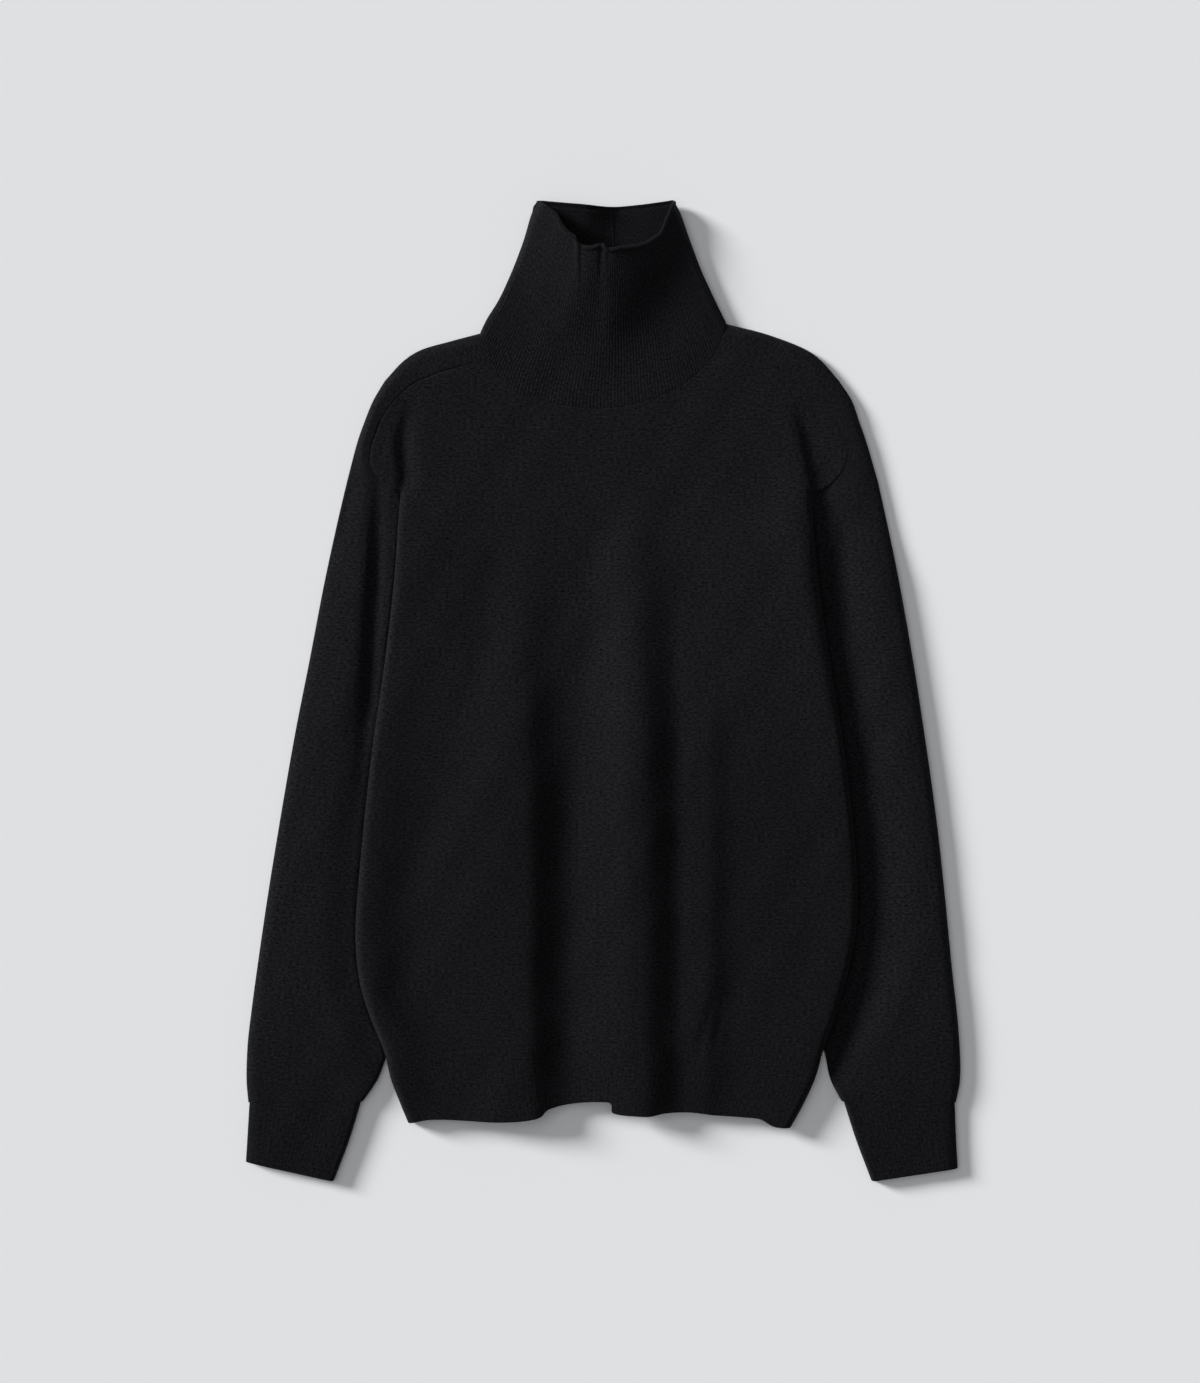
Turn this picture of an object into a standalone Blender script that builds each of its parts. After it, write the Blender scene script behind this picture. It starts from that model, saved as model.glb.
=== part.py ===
"""A turtleneck sweater lying flat: fine knit, saddle shoulders, long rib collar, rib hem and cuffs.

Every piece is a cloth wall worked out from the garment's own sizes.  The garment lies on z = 0 with its
front up, +Y towards the collar and +X towards the wearer's left sleeve.  Tables are in millimetres.
A surface is a function of (u, v), v up the garment and u across it; a wall is the surface's outer points,
the same points moved in by the cloth's thickness, and the edges between them.
"""
import bpy
import bmesh
import numpy as np

MM = 0.001
COLLECTION = "turtleneck_sweater"
CHARCOAL = (0.0095, 0.0094, 0.0112)

# ---- driving sizes, mm ----
WALL = 1.8              # cloth thickness
SEAM = 0.15             # half the space between two pieces at a seam
LAY = 9.0               # height of the upper layer where the two layers just lie on each other
FOLD = 4.5              # height of a folded edge's middle above the floor
PRESSED = 5.0           # height of a sleeve where the body lies on it
OVER_SLEEVE = 6.6       # underside of the body where it lies on a sleeve
LIFT_INSIDE = 8.0       # the body is at its full lift this far inside a sleeve's inner edge
UNDER_RAMP = (22.0, 22.0)       # the back rises to it over these widths, and the front over wider ones
FRONT_RAMP = (85.0, 150.0)      # (the wearer's right, left)
SLEEVE_RISE = 3.0       # how much a sleeve stands above LAY in its middle
CLEAR_RIGHT = 30.0      # the sleeves reach their own height this far from the body's side
CLEAR_LEFT = 40.0
CLEAR_START = 1.5
SLEEVE_LEAST = 4.6      # a sleeve's top never comes lower, so that its two layers stay apart
LEAST_BLEND = 0.45      # how softly it reaches that height
CUFF_DROP = 2.5         # how much lower the cuffs lie
# Stretches of y over which a height changes: where it starts, and over what length.
UNDERARM = (172.0, 34.0)        # down from the underarm the body lies on the sleeves
RISE = (150.0, 60.0)            # down from here a sleeve rises by SLEEVE_RISE
DROP = (-290.0, 100.0)          # down from here it falls by CUFF_DROP
UNPRESSED = (-312.0, 40.0)      # down from here the body lies on it no more
INNER_EDGE = (165.0, 40.0)      # down from here a sleeve's inner edge sinks
INNER_EDGE_HEIGHTS = (4.4, 2.5)
RIB_PITCH = 3.4
RIB_RAISE = 0.35

# Side seams of the body, down to the hem rib: y, x at the wearer's right, x at the wearer's left.
BODY_EDGE = [
    # y,      right,   left
    (168.0, -172.5, 177.5),
    (140.0, -174.2, 178.6),
    (111.0, -176.0, 181.0),
    (60.0, -181.0, 187.5),
    (9.0, -187.5, 195.5),
    (-42.0, -195.0, 203.5),
    (-93.0, -201.0, 210.0),
    (-144.0, -206.0, 215.0),
    (-195.0, -210.0, 215.5),
    (-225.0, -209.5, 211.0),
    (-252.0, -205.5, 204.5),
    (-280.0, -196.5, 196.0),
    (-300.0, -188.0, 188.5),
    (-311.0, -184.5, 185.5),
]
# Hidden inner edges of the sleeves, from the underarm to the cuff.
SLEEVE_INNER = [
    # y,      right,   left
    (168.0, -172.9, 177.9),
    (150.0, -174.1, 178.8),
    (132.0, -175.0, 180.0),
    (105.0, -166.0, 169.5),
    (60.0, -152.0, 157.0),
    (0.0, -141.0, 150.0),
    (-80.0, -142.0, 154.0),
    (-160.0, -152.0, 162.0),
    (-230.0, -166.0, 171.0),
    (-275.0, -175.0, 179.0),
    (-309.0, -184.0, 189.0),
    (-330.0, -191.5, 193.5),
    (-349.0, -204.0, 203.0),
]
# Outlines of the sleeves: along the arm, over the cap beside the armhole, and along the saddle strap.
OUTLINE_RIGHT = {"arm": [(-302.0, -350.0), (-303.5, -331.0), (-302.5, -300.0), (-299.0, -270.0),
                         (-295.0, -240.0), (-286.0, -178.0), (-275.0, -110.0), (-262.0, -35.0),
                         (-250.0, 26.0), (-237.0, 94.0), (-226.0, 145.0), (-218.0, 179.0)],
                 "cap": [(-218.0, 179.0), (-209.0, 213.0), (-203.0, 230.0), (-196.0, 247.0), (-186.0, 264.0)],
                 "strap": [(-186.0, 264.0), (-170.0, 281.0), (-156.0, 290.0), (-129.0, 298.0),
                           (-104.5, 304.5)]}
OUTLINE_LEFT = {"arm": [(300.5, -350.0), (304.0, -331.0), (303.5, -300.0), (301.0, -270.0), (297.5, -240.0),
                        (291.5, -178.0), (284.0, -110.0), (273.5, -35.0), (264.0, 26.0), (252.0, 94.0),
                        (241.5, 145.0), (234.0, 179.0)],
                "cap": [(234.0, 179.0), (224.0, 213.0), (218.0, 230.0), (212.0, 247.0), (201.0, 264.0)],
                "strap": [(201.0, 264.0), (186.0, 281.0), (174.0, 290.0), (140.0, 303.5), (105.0, 312.5)]}
# Armhole seams, underarm to the point of the shoulder, then saddle seams on to the collar.
ARMHOLE_RIGHT = [(-172.5, 168.0), (-188.0, 178.0), (-197.5, 192.0), (-197.5, 205.0), (-193.0, 219.0),
                 (-186.0, 235.0), (-176.0, 248.5)]
ARMHOLE_LEFT = [(177.5, 168.0), (193.0, 176.5), (204.5, 190.0), (207.0, 205.0), (202.5, 222.0),
                (193.5, 237.0), (181.0, 250.0)]
SADDLE_RIGHT = [(-176.0, 248.5), (-163.0, 260.0), (-147.0, 268.0), (-122.0, 275.5), (-97.0, 281.0)]
SADDLE_LEFT = [(181.0, 250.0), (166.0, 263.0), (150.0, 271.5), (122.0, 280.5), (95.5, 288.0)]
# Where the body is joined to the collar.
NECK_FRONT = [(-97.0, 281.0), (-92.0, 271.0), (-77.0, 256.5), (-54.0, 247.5), (-28.0, 242.5), (0.0, 241.0),
              (25.0, 244.5), (48.0, 251.5), (67.0, 261.0), (84.0, 274.5), (95.5, 288.0)]
NECK_BACK = [(-97.0, 281.0), (-60.0, 275.0), (0.0, 273.0), (60.0, 278.0), (95.5, 288.0)]
# The collar's folded edges and its rims.
COLLAR_EDGE_RIGHT = [(-104.5, 304.5), (-99.0, 316.0), (-88.5, 333.0), (-77.0, 358.0), (-67.5, 383.0),
                     (-60.0, 407.0), (-55.0, 415.5)]
COLLAR_EDGE_LEFT = [(105.0, 312.5), (95.5, 332.0), (83.5, 358.0), (74.0, 383.0), (65.0, 408.0), (60.0, 417.0)]
RIM_FRONT = [(-55.0, 415.5), (-47.0, 409.0), (-39.0, 402.0), (-32.0, 392.0), (-23.0, 385.0), (-11.0, 380.0),
             (2.0, 378.0), (16.0, 379.0), (30.0, 381.5), (41.0, 385.5), (48.5, 393.0), (53.0, 405.0),
             (60.0, 417.0)]
RIM_BACK = [(-55.0, 415.5), (-26.0, 413.0), (4.0, 411.0), (31.0, 413.0), (60.0, 417.0)]
COLLAR_SEAM_SHARE = 0.545       # where the seam lies across the collar's back
# The front hem's lower edge and the seam between the body and its hem rib.
HEM_FRONT = [(-166.0, -367.0), (-148.0, -363.5), (-117.0, -364.0), (-88.0, -365.0), (-62.0, -363.0),
             (-45.0, -356.5), (-28.0, -351.0), (-3.0, -348.5), (12.0, -354.0), (31.0, -359.5), (52.0, -359.5),
             (74.0, -357.5), (95.0, -360.0), (116.0, -362.0), (138.0, -367.0), (160.0, -371.0)]
HEM_BACK = [(-166.0, -367.0), (-140.0, -360.0), (-70.0, -352.0), (0.0, -344.0), (70.0, -350.0),
            (136.0, -362.0), (160.0, -371.0)]
HEM_SEAM = [(-184.5, -311.0), (-120.0, -305.0), (-40.0, -300.0), (40.0, -299.0), (120.0, -304.0),
            (185.5, -311.0)]
HEM_EDGE_RIGHT = [(-184.5, -311.0), (-179.5, -332.0), (-173.0, -350.0), (-166.0, -367.0)]
HEM_EDGE_LEFT = [(185.5, -311.0), (180.0, -330.0), (171.5, -350.0), (160.0, -371.0)]
CUFF_RIGHT = {"outer": [(-301.0, -350.4), (-302.5, -376.0), (-304.0, -400.0)],
              "inner": [(-206.0, -349.4), (-216.0, -382.0), (-229.0, -416.5)]}
CUFF_LEFT = {"outer": [(299.5, -350.4), (300.5, -378.0), (302.0, -405.5)],
             "inner": [(205.0, -349.4), (215.5, -382.0), (228.5, -416.5)]}

# Creases by the armpits: y, then x and depth at the wearer's right, x and depth at the left.
ARMPIT_CREASE = [
    # y,      right,  depth, left,  depth
    (250.0, -166.0, 0.0, 165.0, 0.0),
    (238.0, -168.0, 1.6, 166.5, 1.5),
    (213.0, -172.5, 3.8, 169.5, 4.0),
    (192.0, -171.0, 4.6, 173.0, 4.6),
    (179.0, -170.5, 2.8, 176.0, 3.6),
    (168.0, -172.5, 0.6, 178.5, 1.4),
    (140.0, -175.0, 0.0, 180.0, 0.0),
]
CREASE_WIDTH_RIGHT = 3.6
CREASE_WIDTH_LEFT = 5.0

# Long soft ridges in the front: y, crest x, height, whole width of the long side towards the wearer's
# right, width of the short side (where it has fallen by two fifths).
RIDGE_A = [
    (165.0, -62.0, 0.0, 36.0, 16.0),
    (94.0, -67.0, 3.2, 36.0, 16.0),
    (43.0, -69.0, 6.0, 38.0, 16.0),
    (-25.0, -68.0, 10.5, 60.0, 16.0),
    (-93.0, -66.0, 14.5, 84.0, 16.5),
    (-160.0, -65.0, 16.0, 106.0, 16.5),
    (-271.0, -65.0, 16.0, 112.0, 16.5),
    (-370.0, -63.0, 12.5, 112.0, 16.5),
]
RIDGE_B = [
    (190.0, 24.0, 0.0, 35.0, 17.0),
    (145.0, 26.0, 2.5, 36.0, 17.0),
    (111.0, 27.0, 6.5, 42.0, 16.0),
    (43.0, 28.0, 9.5, 46.0, 15.5),
    (-25.0, 31.0, 14.5, 56.0, 16.0),
    (-93.0, 32.0, 16.5, 68.0, 16.5),
    (-160.0, 32.0, 17.0, 82.0, 16.5),
    (-271.0, 32.0, 17.0, 86.0, 16.5),
    (-370.0, 34.0, 13.0, 86.0, 16.5),
]
RIDGE_C = [
    (20.0, 87.0, 0.0, 45.0, 10.0),
    (-25.0, 88.0, 3.0, 50.0, 10.5),
    (-93.0, 88.0, 5.0, 55.0, 10.5),
    (-160.0, 88.0, 6.4, 60.0, 11.0),
    (-220.0, 87.0, 7.0, 60.0, 11.0),
    (-271.0, 86.0, 7.2, 60.0, 11.5),
    (-322.0, 84.0, 5.0, 60.0, 12.0),
    (-370.0, 84.0, 3.0, 60.0, 12.0),
]
RIDGES = [RIDGE_A, RIDGE_B, RIDGE_C]
# The body swells beside its side seams: y, extra height at the wearer's right, and at the left.
SIDE_SWELL = [
    (250.0, 0.0, 0.0),
    (205.0, 0.5, 2.0),
    (168.0, 1.0, 3.0),
    (120.0, 1.5, 3.0),
    (20.0, 2.5, 2.5),
    (-93.0, 4.0, 2.5),
    (-190.0, 6.5, 2.5),
    (-271.0, 8.0, 2.0),
    (-311.0, 4.5, 1.0),
    (-371.0, 0.0, 0.0),
]
SWELL_FROM_EDGE = 10.0
SWELL_WIDTH = 16.0
# A valley along the wearer's right sleeve: y, x, depth.
SLEEVE_VALLEY = [
    (250.0, -186.0, 0.0),
    (215.0, -189.0, 1.0),
    (170.0, -191.0, 2.0),
    (110.0, -193.0, 4.4),
    (60.0, -196.0, 4.4),
    (0.0, -199.0, 3.6),
    (-60.0, -204.0, 1.6),
    (-110.0, -208.0, 0.0),
]
VALLEY_WIDTH = 5.5
# The sleeves fall towards their outer edges: y, drop at the wearer's right, and at the left.
SLEEVE_CROWN = [
    (-350.0, 0.8, 0.5),
    (-200.0, 2.0, 0.8),
    (-60.0, 4.0, 1.2),
    (60.0, 4.8, 1.5),
    (150.0, 4.4, 1.8),
    (215.0, 3.4, 1.5),
    (255.0, 1.8, 1.0),
    (300.0, 0.5, 0.5),
]
CROWN_WIDTH_RIGHT = 40.0
CROWN_WIDTH_LEFT = 24.0
# The collar's front stands up towards its rim: share of the way up, height above LAY.
COLLAR_STAND = [(0.0, 0.0), (0.25, 1.5), (0.5, 7.0), (0.75, 15.0), (1.0, 22.0)]
COLLAR_FOLD_RISE = 2.5          # its folds and its whole front rise by these towards the rim
COLLAR_RISE = 3.0
COLLAR_CREST_X = 2.0
COLLAR_CREST_RIGHT = 37.0       # its widths towards the wearer's right and left
COLLAR_CREST_LEFT = 27.0


# ---- small helpers ----
def step(t):
    """Smooth step from 0 to 1."""
    t = np.clip(t, 0.0, 1.0)
    return t * t * (3.0 - 2.0 * t)


def table(rows, column, y):
    """A column of a table as a smooth function of its first column."""
    rows = np.array(rows, dtype=float)
    rows = rows[np.argsort(rows[:, 0])]
    xs = rows[:, 0]
    ys = rows[:, column]
    slopes = np.gradient(ys, xs)
    y = np.clip(y, xs[0], xs[-1])
    k = np.clip(np.searchsorted(xs, y) - 1, 0, len(xs) - 2)
    span = xs[k + 1] - xs[k]
    t = (y - xs[k]) / span
    a = (1.0 + 2.0 * t) * (1.0 - t) ** 2
    b = t * (1.0 - t) ** 2
    c = t * t * (3.0 - 2.0 * t)
    d = t * t * (t - 1.0)
    return a * ys[k] + b * span * slopes[k] + c * ys[k + 1] + d * span * slopes[k + 1]


class Path:
    """A smooth or straight-sided plan curve through points, read by its share of length."""

    def __init__(self, points, smooth=True):
        points = np.array(points, dtype=float)
        if not smooth:
            self.measure(points)
            return
        steps = np.sqrt(np.linalg.norm(np.diff(points, axis=0), axis=1))
        knots = np.concatenate([[0.0], np.cumsum(steps)])
        fine = np.linspace(0.0, knots[-1], 40 * len(points))
        rows = np.column_stack([knots, points])
        self.measure(np.column_stack([table(rows, 1, fine), table(rows, 2, fine)]))

    def measure(self, points):
        self.points = points
        lengths = np.linalg.norm(np.diff(self.points, axis=0), axis=1)
        self.at = np.concatenate([[0.0], np.cumsum(lengths)])
        self.length = self.at[-1]

    def __call__(self, share):
        s = np.clip(share, 0.0, 1.0) * self.length
        x = np.interp(s, self.at, self.points[:, 0])
        y = np.interp(s, self.at, self.points[:, 1])
        return np.stack([x, y], -1)


class Chain:
    """Paths end to end, each over its own stretch of the parameter."""

    def __init__(self, paths, breaks):
        self.paths = paths
        self.breaks = breaks

    def __call__(self, share):
        share = np.asarray(share, dtype=float)
        out = None
        for k, path in enumerate(self.paths):
            lo = self.breaks[k]
            hi = self.breaks[k + 1]
            here = path((share - lo) / (hi - lo))
            if out is None:
                out = here
            else:
                out = np.where((share > lo)[..., None], here, out)
        return out


def coons(bottom, top, left, right, u, v):
    """Plan points of the patch between four curves."""
    corners = [bottom(0.0), bottom(1.0), top(0.0), top(1.0)]
    u1 = u[..., None]
    v1 = v[..., None]
    ruled_v = (1.0 - v1) * bottom(u) + v1 * top(u)
    ruled_u = (1.0 - u1) * left(v) + u1 * right(v)
    flat = ((1.0 - u1) * (1.0 - v1) * corners[0] + u1 * (1.0 - v1) * corners[1]
            + (1.0 - u1) * v1 * corners[2] + u1 * v1 * corners[3])
    return ruled_v + ruled_u - flat


def quarter(d, w):
    """Height share of a rounded edge: 0 at the edge, 1 from the distance w on."""
    t = np.clip(d / w, 0.0, 1.0)
    return np.sqrt(np.clip(1.0 - (1.0 - t) ** 2, 0.0, 1.0))


def fold_steps(w, count):
    """Distances from a folded edge that divide its rounding evenly."""
    return w * (1.0 - np.cos(np.linspace(0.0, np.pi / 2.0, count + 1)))


# ---- heights ----
def down(stretch, y):
    """Share of a stretch that lies above y, smoothly from 0 to 1 going down."""
    return step((stretch[0] - y) / stretch[1])


def armpit_crease(x, y):
    right = (x - table(ARMPIT_CREASE, 1, y)) / CREASE_WIDTH_RIGHT
    left = (x - table(ARMPIT_CREASE, 3, y)) / CREASE_WIDTH_LEFT
    return (table(ARMPIT_CREASE, 2, y) * np.exp(-right ** 2 / 2.0)
            + table(ARMPIT_CREASE, 4, y) * np.exp(-left ** 2 / 2.0))


def lift(x, y):
    """How far the body's underside is lifted by the sleeves that it lies on."""
    return lift_over(x, y, UNDER_RAMP)


def lift_over(x, y, ramp):
    """The lift over the sleeves, reached over ramps of the widths given for the right and the left."""
    high = OVER_SLEEVE * down(UNDERARM, y)
    right = step((-x + table(SLEEVE_INNER, 1, y) + LIFT_INSIDE + ramp[0]) / ramp[0])
    left = step((x - table(SLEEVE_INNER, 2, y) + LIFT_INSIDE + ramp[1]) / ramp[1])
    return high * np.maximum(right, left)


def ridges(x, y):
    total = np.zeros_like(x)
    for rows in RIDGES:
        off = x - table(rows, 1, y)
        rise = step(1.0 + off / table(rows, 3, y))
        fall = np.exp(-(off / table(rows, 4, y)) ** 2 / 2.0)
        total = total + table(rows, 2, y) * np.where(off < 0.0, rise, fall)
    return total


def side_swell(x, y):
    right = (x - table(BODY_EDGE, 1, y) - SWELL_FROM_EDGE) / SWELL_WIDTH
    left = (table(BODY_EDGE, 2, y) - x - SWELL_FROM_EDGE) / SWELL_WIDTH
    return (table(SIDE_SWELL, 1, y) * np.exp(-right ** 2 / 2.0)
            + table(SIDE_SWELL, 2, y) * np.exp(-left ** 2 / 2.0))


def front_height(x, y):
    return LAY + lift_over(x, y, FRONT_RAMP) + ridges(x, y) + side_swell(x, y) - armpit_crease(x, y)


def sleeve_height(x, y, near_outer, width):
    """Upper layer of a sleeve before its edges are rounded."""
    right_gap = table(BODY_EDGE, 1, y) - x
    left_gap = x - table(BODY_EDGE, 2, y)
    clear = np.maximum(step((right_gap - CLEAR_START) / CLEAR_RIGHT),
                       step((left_gap - CLEAR_START) / CLEAR_LEFT))
    free = LAY + SLEEVE_RISE * down(RISE, y) - CUFF_DROP * down(DROP, y)
    under = PRESSED + (free - PRESSED) * clear
    pressed = down(UNDERARM, y) * (1.0 - down(UNPRESSED, y))
    off = (x - table(SLEEVE_VALLEY, 1, y)) / VALLEY_WIDTH
    valley = table(SLEEVE_VALLEY, 2, y) * np.exp(-off ** 2 / 2.0) * (x < 0.0)
    drop = np.where(x < 0.0, table(SLEEVE_CROWN, 1, y), table(SLEEVE_CROWN, 2, y))
    reach = np.minimum(np.where(x < 0.0, CROWN_WIDTH_RIGHT, CROWN_WIDTH_LEFT), 0.5 * width)
    crown = drop * np.clip(1.0 - near_outer / reach, 0.0, 1.0) ** 2
    top = free + (under - free) * pressed - armpit_crease(x, y) - valley - crown
    above = top - SLEEVE_LEAST
    return SLEEVE_LEAST + (above + np.sqrt(above ** 2 + LEAST_BLEND ** 2)) / 2.0


def side_seam_height(x, y):
    return FOLD + lift(x, y)


# How many steps each stretch is divided into; pieces that meet at a seam share its steps.
SEAM_COUNTS = {"edge": 3, "saddle": 5, "armhole": 6}
FRONT_COUNTS = {**SEAM_COUNTS, "neck": 20, "side": 14}
BACK_COUNTS = {**SEAM_COUNTS, "neck": 8, "side": 12}
SLEEVE_COUNTS = {**SEAM_COUNTS, "tube": 14, "middle": 5}

# ---- surfaces: each gives outer points for shares u across and v along ----
UNDERARM_V = 0.70       # share of the body's side taken by the side seam
UNDERARM_BLEND = 0.02   # share over which a folded side opens out above the underarm
SLEEVE_BREAKS = [0.0, 0.74, 0.87, 1.0]  # shares at the cuff, underarm, shoulder point and collar
SADDLE_U = 0.19         # share of the panel's top edge taken by one saddle seam
SIDE_ROUND = 6.5        # width of the rounding at a side seam
TUBE_ROUND = 9.0        # width of the rounding at a sleeve's or cuff's fold
TUBE_HEM_ROUND = 3.0    # width of the rounding at a sleeve's or cuff's seam
ROUND_SHARE = 0.4       # and no more than this share of its width
NARROW_FOLD = 2.2       # a fold's middle lies lower where the sleeve is narrow, from this height up
TIGHTEST_FOLD = 0.5     # a low fold's rounding is no wider than this times its height squared
COLLAR_ROUND = 8.0      # width of the rounding at the collar's folds
PANEL_WIDTH = 385.0     # mean sizes of the pieces, used to space their columns and seams
PANEL_LENGTH = 560.0
SLEEVE_LENGTH = 700.0
HEM_WIDTH = 350.0
HEM_HEIGHT = 56.0
CUFF_WIDTH = 88.0
CUFF_HEIGHT = 55.0
COLLAR_WIDTH = 290.0
COLLAR_HEIGHT = 120.0
COLLAR_SEAM_LENGTH = 260.0


def body_sides():
    right = Path([(row[1], row[0]) for row in BODY_EDGE[::-1]])
    left = Path([(row[2], row[0]) for row in BODY_EDGE[::-1]])
    breaks = [0.0, UNDERARM_V, 1.0]
    return Chain([right, Path(ARMHOLE_RIGHT)], breaks), Chain([left, Path(ARMHOLE_LEFT)], breaks)


def body_surface(neck, upper):
    """The front (upper) or back panel, from the hem rib to the collar."""
    side_right, side_left = body_sides()
    parts = [Path(SADDLE_RIGHT), Path(neck), Path(SADDLE_LEFT[::-1])]
    top = Chain(parts, [0.0, SADDLE_U, 1.0 - SADDLE_U, 1.0])
    bottom = Path(HEM_SEAM)

    def surface(u, v):
        plan = coons(bottom, top, side_right, side_left, u, v)
        folded = step((UNDERARM_V + UNDERARM_BLEND - v) / UNDERARM_BLEND)
        return body_points(plan, u, side_right(v), side_left(v), upper, folded)
    return surface


def hem_surface(hem, upper):
    edge_right = Path(HEM_EDGE_RIGHT[::-1])
    edge_left = Path(HEM_EDGE_LEFT[::-1])
    bottom = Path(hem)
    top = Path(HEM_SEAM)

    def surface(u, v):
        plan = coons(bottom, top, edge_right, edge_left, u, v)
        return body_points(plan, u, edge_right(v), edge_left(v), upper, np.ones_like(v))
    return surface


def body_points(plan, u, right, left, upper, folded):
    """Puts a body panel's plan points at their height, rounding its folded sides."""
    x = plan[..., 0]
    y = plan[..., 1]
    width = np.linalg.norm(left - right, axis=-1)
    near_right = u * width
    near_left = (1.0 - u) * width
    if upper:
        rounded = quarter(near_right, SIDE_ROUND) * quarter(near_left, SIDE_ROUND)
        seam = side_seam_height(x, y) + SEAM
        z = front_height(x, y)
        z = z - folded * (z - seam) * (1.0 - rounded)
    else:
        rounded = quarter(near_right, SIDE_ROUND * 0.7) * quarter(near_left, SIDE_ROUND * 0.7)
        seam = side_seam_height(x, y) - SEAM
        z = lift(x, y)
        z = z + folded * (seam - z) * (1.0 - rounded)
    return np.stack([x, y, z], -1)


def sleeve_surface(side):
    """A sleeve with its saddle strap.  u runs from the inner edge over the top to the fold (0.5) and back."""
    if side < 0:
        inner = [(row[1], row[0]) for row in SLEEVE_INNER[::-1]]
        outline, armhole, saddle = OUTLINE_RIGHT, ARMHOLE_RIGHT, SADDLE_RIGHT
    else:
        inner = [(row[2], row[0]) for row in SLEEVE_INNER[::-1]]
        outline, armhole, saddle = OUTLINE_LEFT, ARMHOLE_LEFT, SADDLE_LEFT
    outer_path = Chain([Path(outline["arm"]), Path(outline["cap"]), Path(outline["strap"])], SLEEVE_BREAKS)
    inner_path = Chain([Path(inner), Path(armhole), Path(saddle)], SLEEVE_BREAKS)

    def surface(u, v):
        upper = u <= 0.5
        t = np.where(upper, 2.0 * u, 2.0 - 2.0 * u)
        a = inner_path(v)
        b = outer_path(v)
        plan = a + (b - a) * t[..., None]
        width = np.linalg.norm(b - a, axis=-1)
        closed = step((SLEEVE_BREAKS[1] + UNDERARM_BLEND - v) / UNDERARM_BLEND)
        return tube_points(plan, t * width, (1.0 - t) * width, width, upper, closed)
    return surface, (inner_path, outer_path)


def tube_points(plan, near_inner, near_outer, width, upper, closed):
    """Puts a flat tube's plan points at their height: rounded at its fold, and at its closed inner edge."""
    x = plan[..., 0]
    y = plan[..., 1]
    top = sleeve_height(x, y, near_outer, width)
    fold = np.minimum(np.minimum(FOLD, NARROW_FOLD + 0.12 * width), 0.5 * top)
    wide = np.minimum(np.minimum(TUBE_ROUND, ROUND_SHARE * width), TIGHTEST_FOLD * fold ** 2)
    edge = inner_edge_height(y)
    z_up = top - (top - fold) * (1.0 - quarter(near_outer, wide))
    z_up = z_up - closed * (z_up - edge - SEAM) * (1.0 - quarter(near_inner, TUBE_HEM_ROUND))
    z_down = fold * (1.0 - quarter(near_outer, 0.8 * wide))
    z_down = z_down + closed * (edge - SEAM - z_down) * (1.0 - quarter(near_inner, 0.93 * TUBE_HEM_ROUND))
    z = np.where(upper, z_up, z_down)
    return np.stack([x, y, z], -1)


def inner_edge_height(y):
    high, low = INNER_EDGE_HEIGHTS
    return high + (low - high) * down(INNER_EDGE, y)


def cuff_surface(cuff):
    inner_path = Path(cuff["inner"][::-1])
    outer_path = Path(cuff["outer"][::-1])

    def surface(u, v):
        upper = u <= 0.5
        t = np.where(upper, 2.0 * u, 2.0 - 2.0 * u)
        a = inner_path(v)
        b = outer_path(v)
        plan = a + (b - a) * t[..., None]
        width = np.linalg.norm(b - a, axis=-1)
        return tube_points(plan, t * width, (1.0 - t) * width, width, upper, np.ones_like(v))
    return surface


def collar_base(neck, counts):
    """The collar's lower edge: along a strap's end, the panel's neck edge, and the other strap's end."""
    stations = Path(neck)(np.linspace(0.0, 1.0, counts["neck"] + 1))
    return Path([COLLAR_EDGE_RIGHT[0]] + [tuple(p) for p in stations] + [COLLAR_EDGE_LEFT[0]], smooth=False)


def collar_surface():
    """The collar.  u runs from the centre back seam over the wearer's right edge (0.25), the front and
    the left edge (0.75) back to the seam; v runs from the neck to the rim."""
    edge_right = Path(COLLAR_EDGE_RIGHT)
    edge_left = Path(COLLAR_EDGE_LEFT)
    base_front = collar_base(NECK_FRONT, FRONT_COUNTS)
    base_back = collar_base(NECK_BACK, BACK_COUNTS)
    rim_front = Path(RIM_FRONT)
    rim_back = Path(RIM_BACK)

    def surface(u, v):
        front = (u >= 0.25) & (u <= 0.75)
        behind = np.where(u < 0.25, COLLAR_SEAM_SHARE * (0.25 - u) / 0.25,
                          1.0 - (1.0 - COLLAR_SEAM_SHARE) * (u - 0.75) / 0.25)
        t = np.where(front, (u - 0.25) * 2.0, behind)
        plan_front = coons(base_front, rim_front, edge_right, edge_left, t, v)
        plan_back = coons(base_back, rim_back, edge_right, edge_left, t, v)
        plan = np.where(front[..., None], plan_front, plan_back)
        x = plan[..., 0]
        y = plan[..., 1]
        length = np.where(front, base_front.length + (rim_front.length - base_front.length) * v,
                          base_back.length + (rim_back.length - base_back.length) * v)
        near = np.minimum(t, 1.0 - t) * length
        fold = FOLD + COLLAR_FOLD_RISE * v
        off = x - COLLAR_CREST_X
        off = off / np.where(off < 0.0, COLLAR_CREST_RIGHT, COLLAR_CREST_LEFT)
        stand = table(COLLAR_STAND, 1, v) * np.exp(-off ** 2 / 2.0) * np.sin(np.pi * t) ** 0.25
        top = LAY + COLLAR_RISE * v + stand
        z_up = top - (top - fold) * (1.0 - quarter(near, COLLAR_ROUND))
        z_down = fold * (1.0 - quarter(near, 0.875 * COLLAR_ROUND))
        z = np.where(front, z_up, z_down)
        return np.stack([x, y, z], -1)
    return surface


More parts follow.
